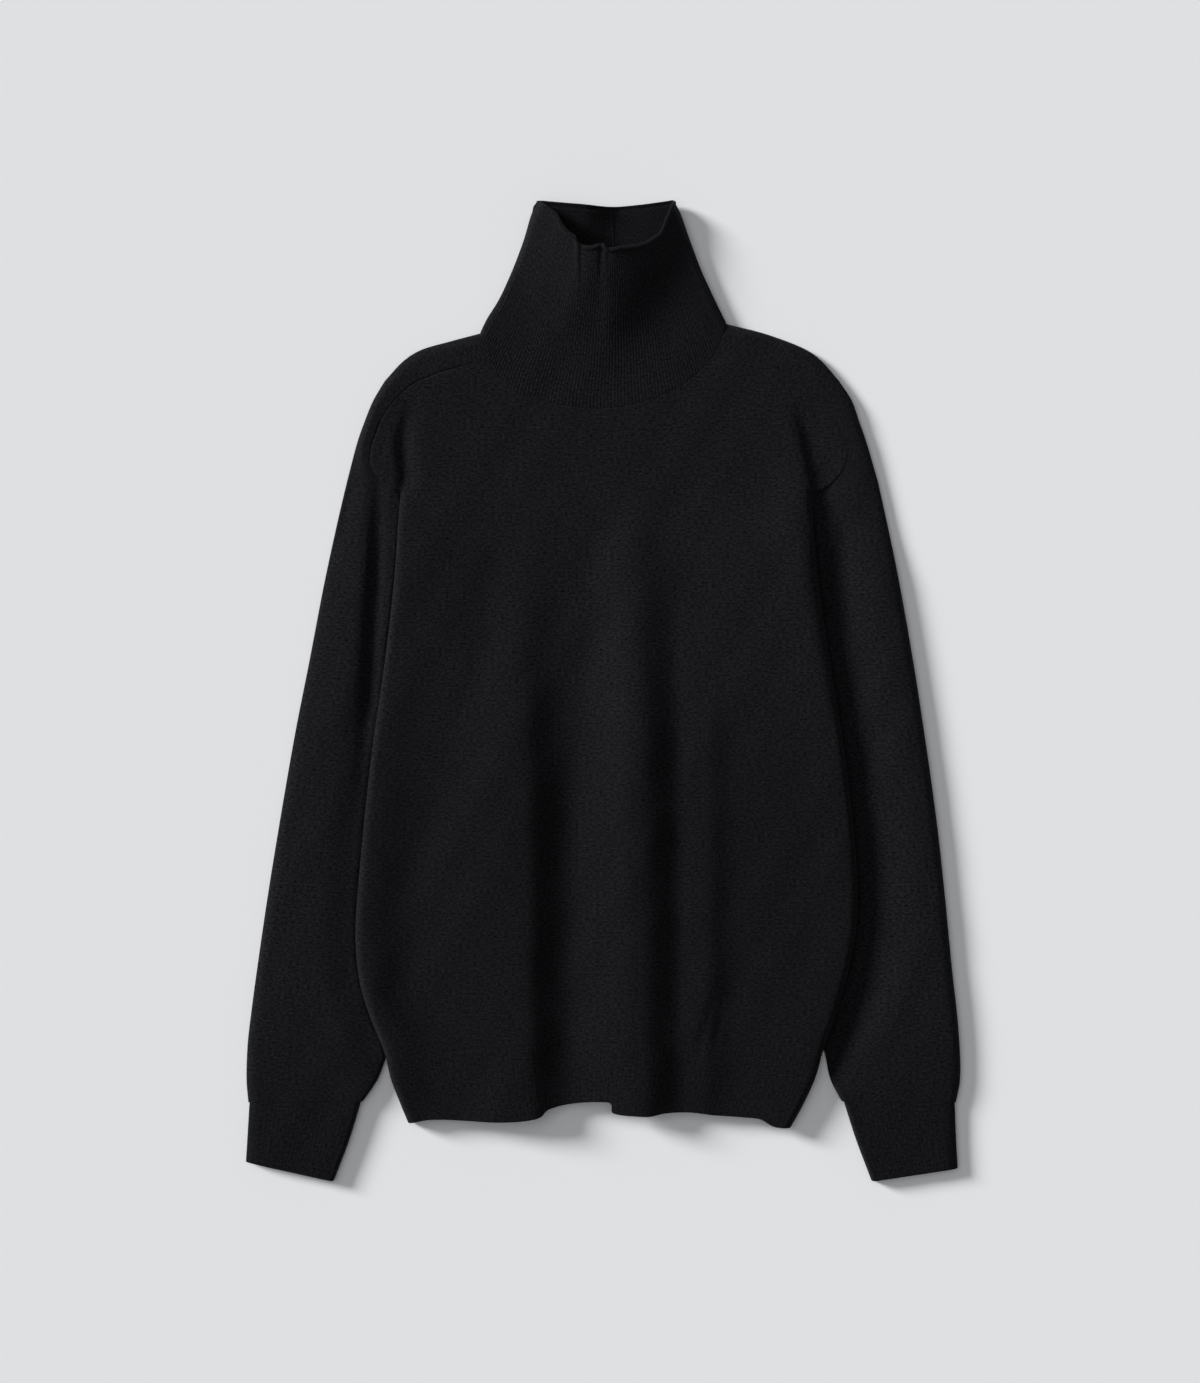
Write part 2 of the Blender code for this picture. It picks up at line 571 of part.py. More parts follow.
# ---- walls ----
def normals(surface, u, v, flip):
    """Unit normals of a surface by small differences, turned outward."""
    du = 0.0004
    dv = 0.0008
    along_u = surface(np.clip(u + du, 0.0, 1.0), v) - surface(np.clip(u - du, 0.0, 1.0), v)
    along_v = surface(u, np.clip(v + dv, 0.0, 1.0)) - surface(u, np.clip(v - dv, 0.0, 1.0))
    n = np.cross(along_u, along_v)
    n = n / np.linalg.norm(n, axis=-1, keepdims=True)
    return -n if flip else n


def in_plane(n, edge):
    """Takes a normal's part across an edge out, so that the edge's face is upright in plan."""
    along = np.gradient(edge, axis=0)
    ahead = np.diff(edge, axis=0, append=2.0 * edge[-1:] - edge[-2:-1])
    turned = np.linalg.norm(along[:, :2], axis=-1) < 0.3 * np.linalg.norm(ahead[:, :2], axis=-1)
    along = np.where(turned[:, None], ahead, along)
    across = np.stack([-along[:, 1], along[:, 0], np.zeros(len(along))], -1)
    across = across / np.linalg.norm(across, axis=-1, keepdims=True)
    n = n - (n * across).sum(-1, keepdims=True) * across
    return n / np.linalg.norm(n, axis=-1, keepdims=True)


def seat_edges(points, n, side_folded):
    """Squares a grid's edge normals to its seams; side_folded rows have sideways edges instead."""
    n = n.copy()
    for row in (0, -1):
        n[row] = in_plane(n[row], points[row])
    for column in (0, -1):
        along = np.gradient(points[:, column], axis=0)
        upright = in_plane(n[:, column], points[:, column])
        away = np.stack([along[:, 1], -along[:, 0], np.zeros(len(along))], -1)
        away = away / np.linalg.norm(away, axis=-1, keepdims=True)
        inward = points[:, 1 if column == 0 else -2] - points[:, column]
        away = np.where((away * inward).sum(-1, keepdims=True) > 0.0, -away, away)
        n[:, column] = np.where(side_folded[:, None], away, upright)
    return n


def zip_sides(faces, fine, coarse, fine_at, coarse_at):
    """Joins two chains of vertices, which run the same way, by a strip of triangles."""
    i = 0
    j = 0
    while i < len(fine) - 1 or j < len(coarse) - 1:
        take_fine = j == len(coarse) - 1
        if not take_fine and i < len(fine) - 1:
            take_fine = fine_at[i + 1] <= (coarse_at[j] + coarse_at[j + 1]) / 2.0
        if take_fine:
            faces.append((fine[i], fine[i + 1], coarse[j]))
            i += 1
        else:
            faces.append((fine[i], coarse[j + 1], coarse[j]))
            j += 1


def wall(name, outer, inner, outer_at, inner_at, material):
    """One closed cloth wall between a grid of outer points and a grid of inner ones, in mm.

    The grids have the same rows; their columns may differ, at the shares outer_at and inner_at."""
    rows = outer.shape[0]
    many = outer.shape[1]
    few = inner.shape[1]
    points = np.concatenate([outer.reshape(-1, 3), inner.reshape(-1, 3)]) * MM
    out = np.arange(rows * many).reshape(rows, many)
    into = rows * many + np.arange(rows * few).reshape(rows, few)
    faces = []
    for grid in (out, into):
        for r in range(rows - 1):
            for c in range(grid.shape[1] - 1):
                faces.append((grid[r, c], grid[r, c + 1], grid[r + 1, c + 1], grid[r + 1, c]))
    for row in (0, rows - 1):
        zip_sides(faces, out[row], into[row], outer_at, inner_at)
    height = np.arange(rows)
    for column in (0, -1):
        zip_sides(faces, out[:, column], into[:, column], height, height)
    mesh = bpy.data.meshes.new(name)
    mesh.from_pydata([tuple(p) for p in points], [], [tuple(int(k) for k in face) for face in faces])
    work = bmesh.new()
    work.from_mesh(mesh)
    bmesh.ops.recalc_face_normals(work, faces=work.faces)
    work.to_mesh(mesh)
    work.free()
    mesh.validate()
    mesh.shade_smooth()
    mesh.set_sharp_from_angle(angle=np.radians(50.0))
    mesh.materials.append(material)
    thing = bpy.data.objects.new(name, mesh)
    bpy.data.collections[COLLECTION].objects.link(thing)
    return thing


def build_wall(name, surface, u, v, folded, flip, material, ribs=None):
    """A wall from a surface at the shares u (rows by columns) and v (rows).

    ribs, if given, is (u of the fine outer columns, height function): the outer points are raised by it."""
    v_grid = np.repeat(v[:, None], u.shape[1], 1)
    points = surface(u, v_grid)
    n = seat_edges(points, normals(surface, u, v_grid, flip), folded)
    inner = points - WALL * n
    at = u.mean(0)
    if ribs is None:
        return wall(name, points, inner, at, at, material)
    fine_u, raise_by = ribs
    fine_v = np.repeat(v[:, None], fine_u.shape[1], 1)
    fine = surface(fine_u, fine_v)
    fine_n = seat_edges(fine, normals(surface, fine_u, fine_v, flip), folded)
    fine = fine + raise_by(fine_u, fine_v)[..., None] * fine_n
    return wall(name, fine, inner, fine_u.mean(0), at, material)


def columns(width, edge_width, edge_count, middle):
    """Column shares across a panel with rounded sides."""
    edge = fold_steps(edge_width, edge_count)
    inside = np.linspace(edge_width, width - edge_width, middle + 1)[1:-1]
    return np.concatenate([edge, inside, width - edge[::-1]]) / width


def make_material(name):
    material = bpy.data.materials.new(name)
    material.use_nodes = True
    shader = material.node_tree.nodes["Principled BSDF"]
    shader.inputs["Base Color"].default_value = (*CHARCOAL, 1.0)
    shader.inputs["Roughness"].default_value = 0.9
    shader.inputs["Metallic"].default_value = 0.0
    return material


def side_columns():
    """Shares across one side of a body panel: its rounded edge and its saddle seam."""
    edge = fold_steps(SIDE_ROUND, SEAM_COUNTS["edge"]) / PANEL_WIDTH
    saddle = np.linspace(edge[-1], SADDLE_U, SEAM_COUNTS["saddle"] + 1)[1:]
    return np.concatenate([edge, saddle])


def panel_columns(counts):
    """Shares across a body panel: one side, the neck, the other side."""
    half = side_columns()
    neck = np.linspace(SADDLE_U, 1.0 - SADDLE_U, counts["neck"] + 1)[1:-1]
    return np.concatenate([half, neck, 1.0 - half[::-1]])


def body_rows(counts):
    return np.concatenate([np.linspace(0.0, UNDERARM_V, counts["side"] + 1),
                           np.linspace(UNDERARM_V, 1.0, counts["armhole"] + 1)[1:]])


def inset(shares, amount):
    """Moves the first and last share in, for the space at a seam."""
    shares = shares.copy()
    shares[0] = shares[0] + amount
    shares[-1] = shares[-1] - amount
    return shares


def build_body(name, neck, upper, counts, material):
    across = panel_columns(counts)
    rows = body_rows(counts)
    folded = rows < UNDERARM_V + 1e-6
    u = np.repeat(across[None, :], len(rows), 0)
    narrow = SEAM / PANEL_WIDTH
    u[~folded, 0] = narrow * 1.3
    u[~folded, -1] = 1.0 - narrow * 1.3
    v = inset(rows, SEAM / PANEL_LENGTH)
    return build_wall(name, body_surface(neck, upper), u, v, folded, not upper, material)


CAP_COLUMNS = np.array([0.0, 0.1, 0.2])     # first columns beside the armhole, where the tube is open


def build_sleeve(name, side, counts, material):
    surface, paths = sleeve_surface(side)
    cuff, underarm, point, collar = SLEEVE_BREAKS
    tube = np.linspace(cuff, underarm, counts["tube"] + 1)
    cap = np.linspace(underarm, point, counts["armhole"] + 1)[1:]
    strap = point + side_columns()[1:] / SADDLE_U * (collar - point)
    rows = np.concatenate([tube, cap, strap])
    widths = np.linalg.norm(paths[1](rows) - paths[0](rows), axis=-1)
    folded = rows < underarm + 1e-6
    half = []
    for width, closed in zip(widths, folded):
        fold = fold_steps(min(TUBE_ROUND, ROUND_SHARE * width), counts["edge"]) / width
        hem = fold_steps(TUBE_HEM_ROUND, 2) / width if closed else CAP_COLUMNS
        middle = np.linspace(hem[-1], 1.0 - fold[-1], counts["middle"] + 1)[1:-1]
        half.append(np.concatenate([hem, middle, (1.0 - fold[::-1])]) / 2.0)
    half = np.array(half)
    half[~folded, 0] = (SEAM * 1.3 / widths[~folded]) / 2.0
    u = np.concatenate([half, 1.0 - half[:, -2::-1]], 1)
    v = inset(rows, SEAM / SLEEVE_LENGTH)
    return build_wall(name, surface, u, v, folded, side < 0, material)


def rib_columns(start, stop, count):
    """Two columns for each rib: one in the groove, one on the rib."""
    return np.linspace(start, stop, 2 * count + 1)


def build_hem(name, hem, upper, material):
    width = HEM_WIDTH
    across = columns(width, SIDE_ROUND, 3, 36)
    v = inset(np.linspace(0.0, 1.0, 3), SEAM / HEM_HEIGHT)
    v[0] = 0.0
    folded = np.ones(len(v), dtype=bool)
    u = np.repeat(across[None, :], len(v), 0)
    if not upper:
        return build_wall(name, hem_surface(hem, upper), u, v, folded, True, material)
    edge = fold_steps(SIDE_ROUND, 3) / width
    count = int((width - 2.0 * SIDE_ROUND) / RIB_PITCH)
    fine = np.concatenate([edge[:-1], rib_columns(edge[-1], 1.0 - edge[-1], count), 1.0 - edge[-2::-1]])
    raised = np.zeros(len(fine))
    raised[len(edge):-len(edge):2] = RIB_RAISE
    fine_u = np.repeat(fine[None, :], len(v), 0)
    return build_wall(name, hem_surface(hem, upper), u, v, folded, False, material,
                      (fine_u, lambda a, b: np.repeat(raised[None, :], a.shape[0], 0)))


def build_cuff(name, cuff, side, material):
    surface = cuff_surface(cuff)
    width = CUFF_WIDTH
    v = inset(np.linspace(0.0, 1.0, 3), SEAM / CUFF_HEIGHT)
    v[0] = 0.0
    hem = fold_steps(TUBE_HEM_ROUND, 2) / width
    fold = fold_steps(TUBE_ROUND, 3) / width
    middle = np.linspace(hem[-1], 1.0 - fold[-1], 8)[1:-1]
    half = np.concatenate([hem, middle, 1.0 - fold[::-1]]) / 2.0
    across = np.concatenate([half, 1.0 - half[-2::-1]])
    u = np.repeat(across[None, :], len(v), 0)
    count = int((width - TUBE_ROUND - TUBE_HEM_ROUND) / RIB_PITCH)
    ribbed = rib_columns(hem[-1], 1.0 - fold[-1], count)
    fine_half = np.concatenate([hem[:-1], ribbed, (1.0 - fold[::-1])[1:]]) / 2.0
    fine = np.concatenate([fine_half, 1.0 - half[-2::-1]])
    raised = np.zeros(len(fine))
    raised[len(hem):len(hem) + 2 * count - 1:2] = RIB_RAISE
    fine_u = np.repeat(fine[None, :], len(v), 0)
    folded = np.ones(len(v), dtype=bool)
    return build_wall(name, surface, u, v, folded, side < 0, material,
                      (fine_u, lambda a, b: np.repeat(raised[None, :], a.shape[0], 0)))


def build_collar(name, material):
    surface = collar_surface()
    rows = inset(np.linspace(0.0, 1.0, 7), SEAM / COLLAR_HEIGHT)
    rows[-1] = 1.0
    edge = fold_steps(COLLAR_ROUND, 4) / COLLAR_WIDTH / 2.0
    back = np.linspace(0.0, 0.25 - edge[-1], 7)[:-1]
    front = np.linspace(0.25 + edge[-1], 0.75 - edge[-1], 25)
    across = np.concatenate([back, 0.25 - edge[::-1], 0.25 + edge[1:-1], front, 0.75 - edge[-2::-1],
                             0.75 + edge[1:], 1.0 - back[::-1]])
    u = np.repeat(across[None, :], len(rows), 0)
    gap = SEAM / COLLAR_SEAM_LENGTH
    u[:, 0] = gap
    u[:, -1] = 1.0 - gap
    count = int((COLLAR_WIDTH - 2.0 * COLLAR_ROUND) / RIB_PITCH)
    ribbed = rib_columns(0.25 + edge[-1], 0.75 - edge[-1], count)
    fine = np.concatenate([back, 0.25 - edge[::-1], 0.25 + edge[1:-1], ribbed, 0.75 - edge[-2::-1],
                           0.75 + edge[1:], 1.0 - back[::-1]])
    fine[0] = gap
    fine[-1] = 1.0 - gap
    first = len(back) + 2 * len(edge) - 2
    raised = np.zeros(len(fine))
    raised[first + 1:first + 2 * count:2] = 1.0
    fine_u = np.repeat(fine[None, :], len(rows), 0)
    folded = np.zeros(len(rows), dtype=bool)
    return build_wall(name, surface, u, rows, folded, False, material,
                      (fine_u, lambda a, b: raised[None, :] * RIB_RAISE * (1.0 - 0.5 * b)))


def main():
    for thing in list(bpy.data.objects):
        bpy.data.objects.remove(thing, do_unlink=True)
    collection = bpy.data.collections.new(COLLECTION)
    bpy.context.scene.collection.children.link(collection)
    build_body("front", NECK_FRONT, True, FRONT_COUNTS, make_material("front_knit"))
    build_body("back", NECK_BACK, False, BACK_COUNTS, make_material("back_knit"))
    build_sleeve("sleeve_right", -1, SLEEVE_COUNTS, make_material("sleeve_right_knit"))
    build_sleeve("sleeve_left", 1, SLEEVE_COUNTS, make_material("sleeve_left_knit"))
    build_collar("collar", make_material("collar_rib"))
    build_hem("hem_rib_front", HEM_FRONT, True, make_material("hem_front_rib"))
    build_hem("hem_rib_back", HEM_BACK, False, make_material("hem_back_rib"))
    build_cuff("cuff_right", CUFF_RIGHT, -1, make_material("cuff_right_rib"))
    build_cuff("cuff_left", CUFF_LEFT, 1, make_material("cuff_left_rib"))


main()
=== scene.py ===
"""Looks of a turtleneck sweater lying flat: fine charcoal-black knit, rib collar, hem and cuffs.

Each piece is a thin closed shell on its solid's form, worked out again from the same sizes at a finer
pitch, with the ribs, seams, folds and puckers raised in it.  Tables are in millimetres: +X towards the
wearer's left sleeve, +Y towards the collar, +Z up from the floor.
"""
import math

import bpy
import numpy as np
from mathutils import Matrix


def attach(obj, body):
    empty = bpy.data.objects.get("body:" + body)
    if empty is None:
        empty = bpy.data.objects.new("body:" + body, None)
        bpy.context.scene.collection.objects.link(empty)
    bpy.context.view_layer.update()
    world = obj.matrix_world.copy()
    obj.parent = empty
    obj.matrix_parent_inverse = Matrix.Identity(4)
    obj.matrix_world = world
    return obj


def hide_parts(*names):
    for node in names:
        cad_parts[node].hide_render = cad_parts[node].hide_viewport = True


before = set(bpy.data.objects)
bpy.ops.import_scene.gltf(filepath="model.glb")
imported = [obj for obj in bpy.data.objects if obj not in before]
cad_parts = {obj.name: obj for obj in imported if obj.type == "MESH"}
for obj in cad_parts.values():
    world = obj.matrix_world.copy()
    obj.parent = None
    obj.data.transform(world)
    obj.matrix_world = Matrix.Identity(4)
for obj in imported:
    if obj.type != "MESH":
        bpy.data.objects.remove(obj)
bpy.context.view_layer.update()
MM = 0.001

# ---- driving sizes, mm ----
WALL = 1.8  # cloth thickness
SEAM = 0.15  # half the space between two pieces at a seam
LAY = 9.0  # height of the upper layer where the two layers just lie on each other
FOLD = 4.5  # height of a folded edge's middle above the floor
PRESSED = 5.0  # height of a sleeve where the body lies on it
OVER_SLEEVE = 6.6  # underside of the body where it lies on a sleeve
LIFT_INSIDE = 8.0  # the body is at its full lift this far inside a sleeve's inner edge
UNDER_RAMP = (22.0, 22.0)  # the back rises to it over these widths, and the front over wider ones
FRONT_RAMP = (85.0, 150.0)  # (the wearer's right, left)
SLEEVE_RISE = 3.0  # how much a sleeve stands above LAY in its middle
CLEAR_RIGHT = 30.0  # the sleeves reach their own height this far from the body's side
CLEAR_LEFT = 52.0
CLEAR_START_LEFT = 5.0
BESIDE_BODY = 0.45  # share of that height which the right one has close beside the body
BESIDE_FROM = 2.5  # it starts this far under the body
BESIDE_WIDTH = 4.0
CLEAR_START = 1.5
SLEEVE_LEAST = 4.6  # a sleeve's top is never lower, so its two layers stay apart
LEAST_BLEND = 0.45  # how softly it reaches that height
CUFF_DROP = 2.5  # how much lower the cuffs lie
# Stretches of y over which a height changes: where it starts, and over what length.
UNDERARM = (172.0, 34.0)  # down from the underarm the body lies on the sleeves
FRONT_UNDERARM = (188.0, 76.0)  # its front rises more slowly
RISE = (150.0, 60.0)  # down from here a sleeve rises by SLEEVE_RISE
DROP = (-290.0, 100.0)  # down from here it falls by CUFF_DROP
UNPRESSED = (-312.0, 40.0)  # down from here the body lies on it no more
INNER_EDGE = (165.0, 40.0)  # down from here a sleeve's inner edge sinks
INNER_EDGE_HEIGHTS = (4.4, 2.5)
RIB_PITCH = 3.4

# Side seams of the body, down to the hem rib: x at the wearer's right and left.
BODY_EDGE = [
    # y, right, left
    (168, -172.5, 177.5),
    (140, -174.2, 178.6),
    (111, -176, 181),
    (60, -181, 187.5),
    (9, -187.5, 195.5),
    (-42, -195, 203.5),
    (-93, -201, 210),
    (-144, -206, 215),
    (-195, -210, 215.5),
    (-225, -209.5, 211),
    (-252, -205.5, 204.5),
    (-280, -196.5, 196),
    (-300, -188, 188.5),
    (-311, -184.5, 185.5),
]
# Hidden inner edges of the sleeves, from the underarm to the cuff.
SLEEVE_INNER = [
    # y, right, left
    (168, -172.5, 177.5),
    (150, -169.5, 174.5),
    (132, -166, 171.5),
    (105, -160, 165.5),
    (60, -152, 157),
    (0, -141, 150),
    (-80, -142, 154),
    (-160, -152, 162),
    (-230, -166, 171),
    (-275, -175, 179),
    (-309, -184, 189),
    (-330, -191.5, 193.5),
    (-349, -204, 203),
]
# Outlines of the sleeves: along the arm, over the cap by the armhole, and along the saddle strap.
OUTLINE_RIGHT = {
    "arm": [(-302, -350), (-303.5, -331), (-302.5, -300), (-299, -270), (-295, -240), (-286, -178),
            (-275, -110), (-262, -35), (-250, 26), (-237, 94), (-226, 145), (-218, 179)],
    "cap": [(-218, 179), (-209, 213), (-203, 230), (-196, 247), (-186, 264)],
    "strap": [(-186, 264), (-170, 281), (-156, 290), (-129, 298), (-104.5, 304.5)],
}
OUTLINE_LEFT = {
    "arm": [(300.5, -350), (304, -331), (303.5, -300), (301, -270), (297.5, -240), (291.5, -178),
            (284, -110), (273.5, -35), (264, 26), (252, 94), (241.5, 145), (234, 179)],
    "cap": [(234, 179), (224, 213), (218, 230), (212, 247), (201, 264)],
    "strap": [(201, 264), (186, 281), (174, 290), (140, 303.5), (105, 312.5)],
}
# Armhole seams, underarm to the point of the shoulder, then saddle seams on to the collar.
ARMHOLE_RIGHT = [(-172.5, 168), (-188, 178), (-197.5, 192), (-197.5, 205), (-193, 219),
                 (-186, 235), (-176, 248.5)]
ARMHOLE_LEFT = [(177.5, 168), (193, 176.5), (204.5, 190), (207, 205), (202.5, 222),
                (193.5, 237), (181, 250)]
SADDLE_RIGHT = [(-176, 248.5), (-163, 260), (-147, 268), (-122, 275.5), (-97, 281)]
SADDLE_LEFT = [(181, 250), (166, 263), (150, 271.5), (122, 280.5), (95.5, 288)]
# Where the body is joined to the collar.
NECK_FRONT = [(-97, 281), (-92, 271), (-77, 256.5), (-54, 247.5), (-28, 242.5), (0, 241),
              (25, 244.5), (48, 251.5), (67, 261), (84, 274.5), (95.5, 288)]
NECK_BACK = [(-97, 281), (-60, 275), (0, 273), (60, 278), (95.5, 288)]
# The collar's folded edges and its rims.
COLLAR_EDGE_RIGHT = [(-104.5, 304.5), (-99, 316), (-88.5, 333), (-77, 358), (-67.5, 383),
                     (-60, 407), (-55, 415.5)]
COLLAR_EDGE_LEFT = [(105, 312.5), (95.5, 332), (83.5, 358), (74, 383), (65, 408), (60, 417)]
RIM_FRONT = [(-55, 415.5), (-47, 409.5), (-39.5, 403.5), (-33.5, 393), (-28, 387), (-23.5, 383.5),
             (-21, 377.5), (-11, 374.8), (-2.5, 376.8), (1, 376), (4.5, 373.2), (14.5, 374.6),
             (31, 377.4), (40, 382), (48, 388.5), (54, 402.5), (60, 417)]
RIM_BACK = [(-55, 415.5), (-26, 413), (4, 411), (31, 413), (60, 417)]
COLLAR_SEAM_SHARE = 0.545  # where the seam lies across the collar's back
# The hem's lower edges, and the seam between the body and its hem rib.
HEM_FRONT = [(-166, -367), (-148, -363.5), (-117, -364), (-88, -365), (-62, -363),
             (-53, -360.5), (-47, -355), (-40, -352.5), (-24, -349.5), (-3, -348),
             (5.5, -348.6), (7.2, -351), (7.8, -356.5), (12, -358.2), (31, -359.8), (40, -360),
             (52, -358), (74, -357.5), (95, -360), (118, -361.8), (134, -363.6),
             (145, -369.6), (160, -371.5)]
HEM_BACK = [(-166, -367), (-140, -360), (-70, -352), (0, -344), (70, -350),
            (136, -362), (160, -371)]
HEM_SEAM = [(-184.5, -311), (-120, -305), (-40, -300), (40, -299), (120, -304), (185.5, -311)]
HEM_EDGE_RIGHT = [(-184.5, -311), (-179.5, -332), (-173, -350), (-166, -367)]
HEM_EDGE_LEFT = [(185.5, -311), (180, -330), (171.5, -350), (160, -371)]
CUFF_RIGHT = {"outer": [(-301, -350.4), (-302.5, -376), (-304, -400)],
              "inner": [(-206, -349.4), (-216, -382), (-229, -416.5)]}
CUFF_LEFT = {"outer": [(299.5, -350.4), (300.5, -378), (302, -405.5)],
             "inner": [(205, -349.4), (215.5, -382), (228.5, -416.5)]}

# Creases by the armpits.
ARMPIT_CREASE = [
    # y, right, depth, left, depth
    (250, -164, 0, 166, 0),
    (238, -166, 1.6, 168, 2.1),
    (213, -171, 3.8, 174, 4.6),
    (192, -170, 4.6, 178.5, 4.9),
    (179, -169, 4, 181.5, 4.7),
    (168, -172.5, 1.6, 184, 3.8),
    (140, -175, 0, 186, 3.4),
    (105, -175, 0, 189, 2.8),
    (60, -175, 0, 194, 1.6),
    (15, -175, 0, 200, 0),
]
CREASE_WIDTH_RIGHT = 3.6  # the right one's half width towards the arm, and inside
CREASE_WIDTH_INSIDE = 7.0
CREASE_WIDTH_LEFT = 4.0  # the left one's half width inside, and towards the arm
CREASE_WIDTH_BEYOND = 15.0

# Long soft ridges in the front: y, crest x, height, whole width of the side towards the wearer's
# right, width of the other (where it has fallen by two fifths).
RIDGE_A = [
    (165, -62, 0, 36, 16),
    (94, -67, 3.2, 36, 16),
    (43, -69, 6, 38, 16),
    (-25, -68, 10.5, 60, 16),
    (-93, -66, 14.5, 84, 16.5),
    (-160, -65, 16, 106, 16.5),
    (-271, -65, 16, 112, 16.5),
    (-370, -63, 12.5, 112, 16.5),
]
RIDGE_B = [
    (190, 24, 0, 35, 17),
    (145, 26, 2.5, 36, 17),
    (111, 27, 6.5, 42, 16),
    (43, 28, 9.5, 46, 15.5),
    (-25, 31, 14.5, 56, 16),
    (-93, 32, 16.5, 68, 16.5),
    (-160, 32, 17, 82, 16.5),
    (-271, 32, 17, 86, 16.5),
    (-370, 34, 13, 86, 16.5),
]
RIDGE_C = [
    (20, 87, 0, 45, 10),
    (-25, 88, 3, 50, 10.5),
    (-93, 88, 5, 55, 10.5),
    (-160, 88, 6.4, 60, 11),
    (-220, 87, 7, 60, 11),
    (-271, 86, 7.2, 60, 11.5),
    (-322, 84, 5, 60, 12),
    (-370, 84, 3, 60, 12),
]
RIDGES = [RIDGE_A, RIDGE_B, RIDGE_C]
# How much the body swells beside its side seams.
SIDE_SWELL = [
    # y, right, left
    (250, 0, 0),
    (205, 0.5, 2),
    (168, 1, 3),
    (120, 1.5, 3),
    (20, 2.5, 2.5),
    (-93, 4, 2.5),
    (-190, 6.5, 2.5),
    (-271, 8, 2),
    (-311, 4.5, 1),
    (-371, 0, 0),
]
SWELL_FROM_EDGE = 10.0
SWELL_WIDTH = 16.0
# A valley along the wearer's right sleeve.
SLEEVE_VALLEY = [
    # y, x, depth
    (250, -186, 0),
    (215, -189, 1),
    (170, -191, 2),
    (110, -193, 4.4),
    (60, -196, 4.4),
    (0, -199, 3.6),
    (-60, -204, 1.6),
    (-110, -208, 0),
]
VALLEY_WIDTH = 4.7
# How much the sleeves fall towards their outer edges.
SLEEVE_CROWN = [
    # y, right, left
    (-350, 0.8, 0.5),
    (-200, 2, 0.8),
    (-60, 4, 1.2),
    (60, 5.8, 1.5),
    (150, 6.2, 1.8),
    (215, 5.2, 1.5),
    (255, 3.6, 1),
    (300, 1, 0.5),
]
CROWN_WIDTH_RIGHT = 40.0
CROWN_WIDTH_LEFT = 24.0
# The collar's front stands up towards its rim: share of the way up, height above LAY.
COLLAR_STAND = [(0, 0), (0.25, 0.5), (0.45, 5), (0.6, 11), (0.8, 18), (1, 22)]
COLLAR_FOLD_RISE = 2.5  # its folds and its whole front rise by these towards the rim
COLLAR_RISE = 3.0
COLLAR_SQUARE = 0.25  # the smaller, the squarer it stands between its folds
COLLAR_CREST_X = 2.0
COLLAR_CREST_RIGHT = 54.0  # its width to the wearer's right, then to the left below and at the rim
COLLAR_CREST_LEFT = (26, 39)
# The collar's back stands up to its rim from a share of the way up, highest at the wearer's right.
BACK_RISE_FROM = 0.66
BACK_RISE_RIGHT = 14.0
BACK_RISE_LEFT = 4.5
BACK_RISE_X = 15.0  # it starts to rise towards the right from here, over that width
BACK_RISE_WIDTH = 32.0
BACK_RISE_POWER = 1.4  # it curves up towards the rim
COLLAR_FOLD_LIFT = 4.0  # and the right fold rises with it


# ---- small helpers ----
def clamp(t):
    return np.clip(t, 0, 1)


def step(t):
    """Smooth step from 0 to 1."""
    t = clamp(t)
    return t * t * (3 - 2 * t)


def bell(off):
    return np.exp(-off ** 2 / 2)


def join(*parts):
    return np.concatenate(parts)


def norms(vectors):
    return np.linalg.norm(vectors, axis=-1)


def table(rows, column, y):
    """A column of a table as a smooth function of its first column."""
    rows = np.array(rows, dtype=float)
    rows = rows[np.argsort(rows[:, 0])]
    xs = rows[:, 0]
    ys = rows[:, column]
    slopes = np.gradient(ys, xs)
    y = np.clip(y, xs[0], xs[-1])
    k = np.clip(np.searchsorted(xs, y) - 1, 0, len(xs) - 2)
    span = xs[k + 1] - xs[k]
    t = (y - xs[k]) / span
    a = (1 + 2 * t) * (1 - t) ** 2
    b = t * (1 - t) ** 2
    c = t * t * (3 - 2 * t)
    d = t * t * (t - 1)
    return a * ys[k] + b * span * slopes[k] + c * ys[k + 1] + d * span * slopes[k + 1]


PATH_POINTS = 40  # points of a smooth curve to each of its given ones


class Path:
    """A smooth or straight-sided plan curve through points, read by its share of length."""

    def __init__(self, points, smooth=True):
        points = np.array(points, dtype=float)
        if smooth:
            knots = join([0], np.cumsum(np.sqrt(norms(np.diff(points, axis=0)))))
            fine = np.linspace(0, knots[-1], PATH_POINTS * len(points))
            rows = np.column_stack([knots, points])
            points = np.column_stack([table(rows, 1, fine), table(rows, 2, fine)])
        self.points = points
        self.at = join([0], np.cumsum(norms(np.diff(points, axis=0))))
        self.length = self.at[-1]

    def __call__(self, share):
        s = clamp(share) * self.length
        x = np.interp(s, self.at, self.points[:, 0])
        y = np.interp(s, self.at, self.points[:, 1])
        return np.stack([x, y], -1)


class Chain:
    """Paths end to end, each over its own stretch of the parameter."""

    def __init__(self, paths, breaks):
        self.paths = paths
        self.breaks = breaks

    def __call__(self, share):
        share = np.asarray(share, dtype=float)
        out = self.paths[0](share / self.breaks[1])
        for path, lo, hi in zip(self.paths[1:], self.breaks[1:], self.breaks[2:]):
            out = np.where((share > lo)[..., None], path((share - lo) / (hi - lo)), out)
        return out


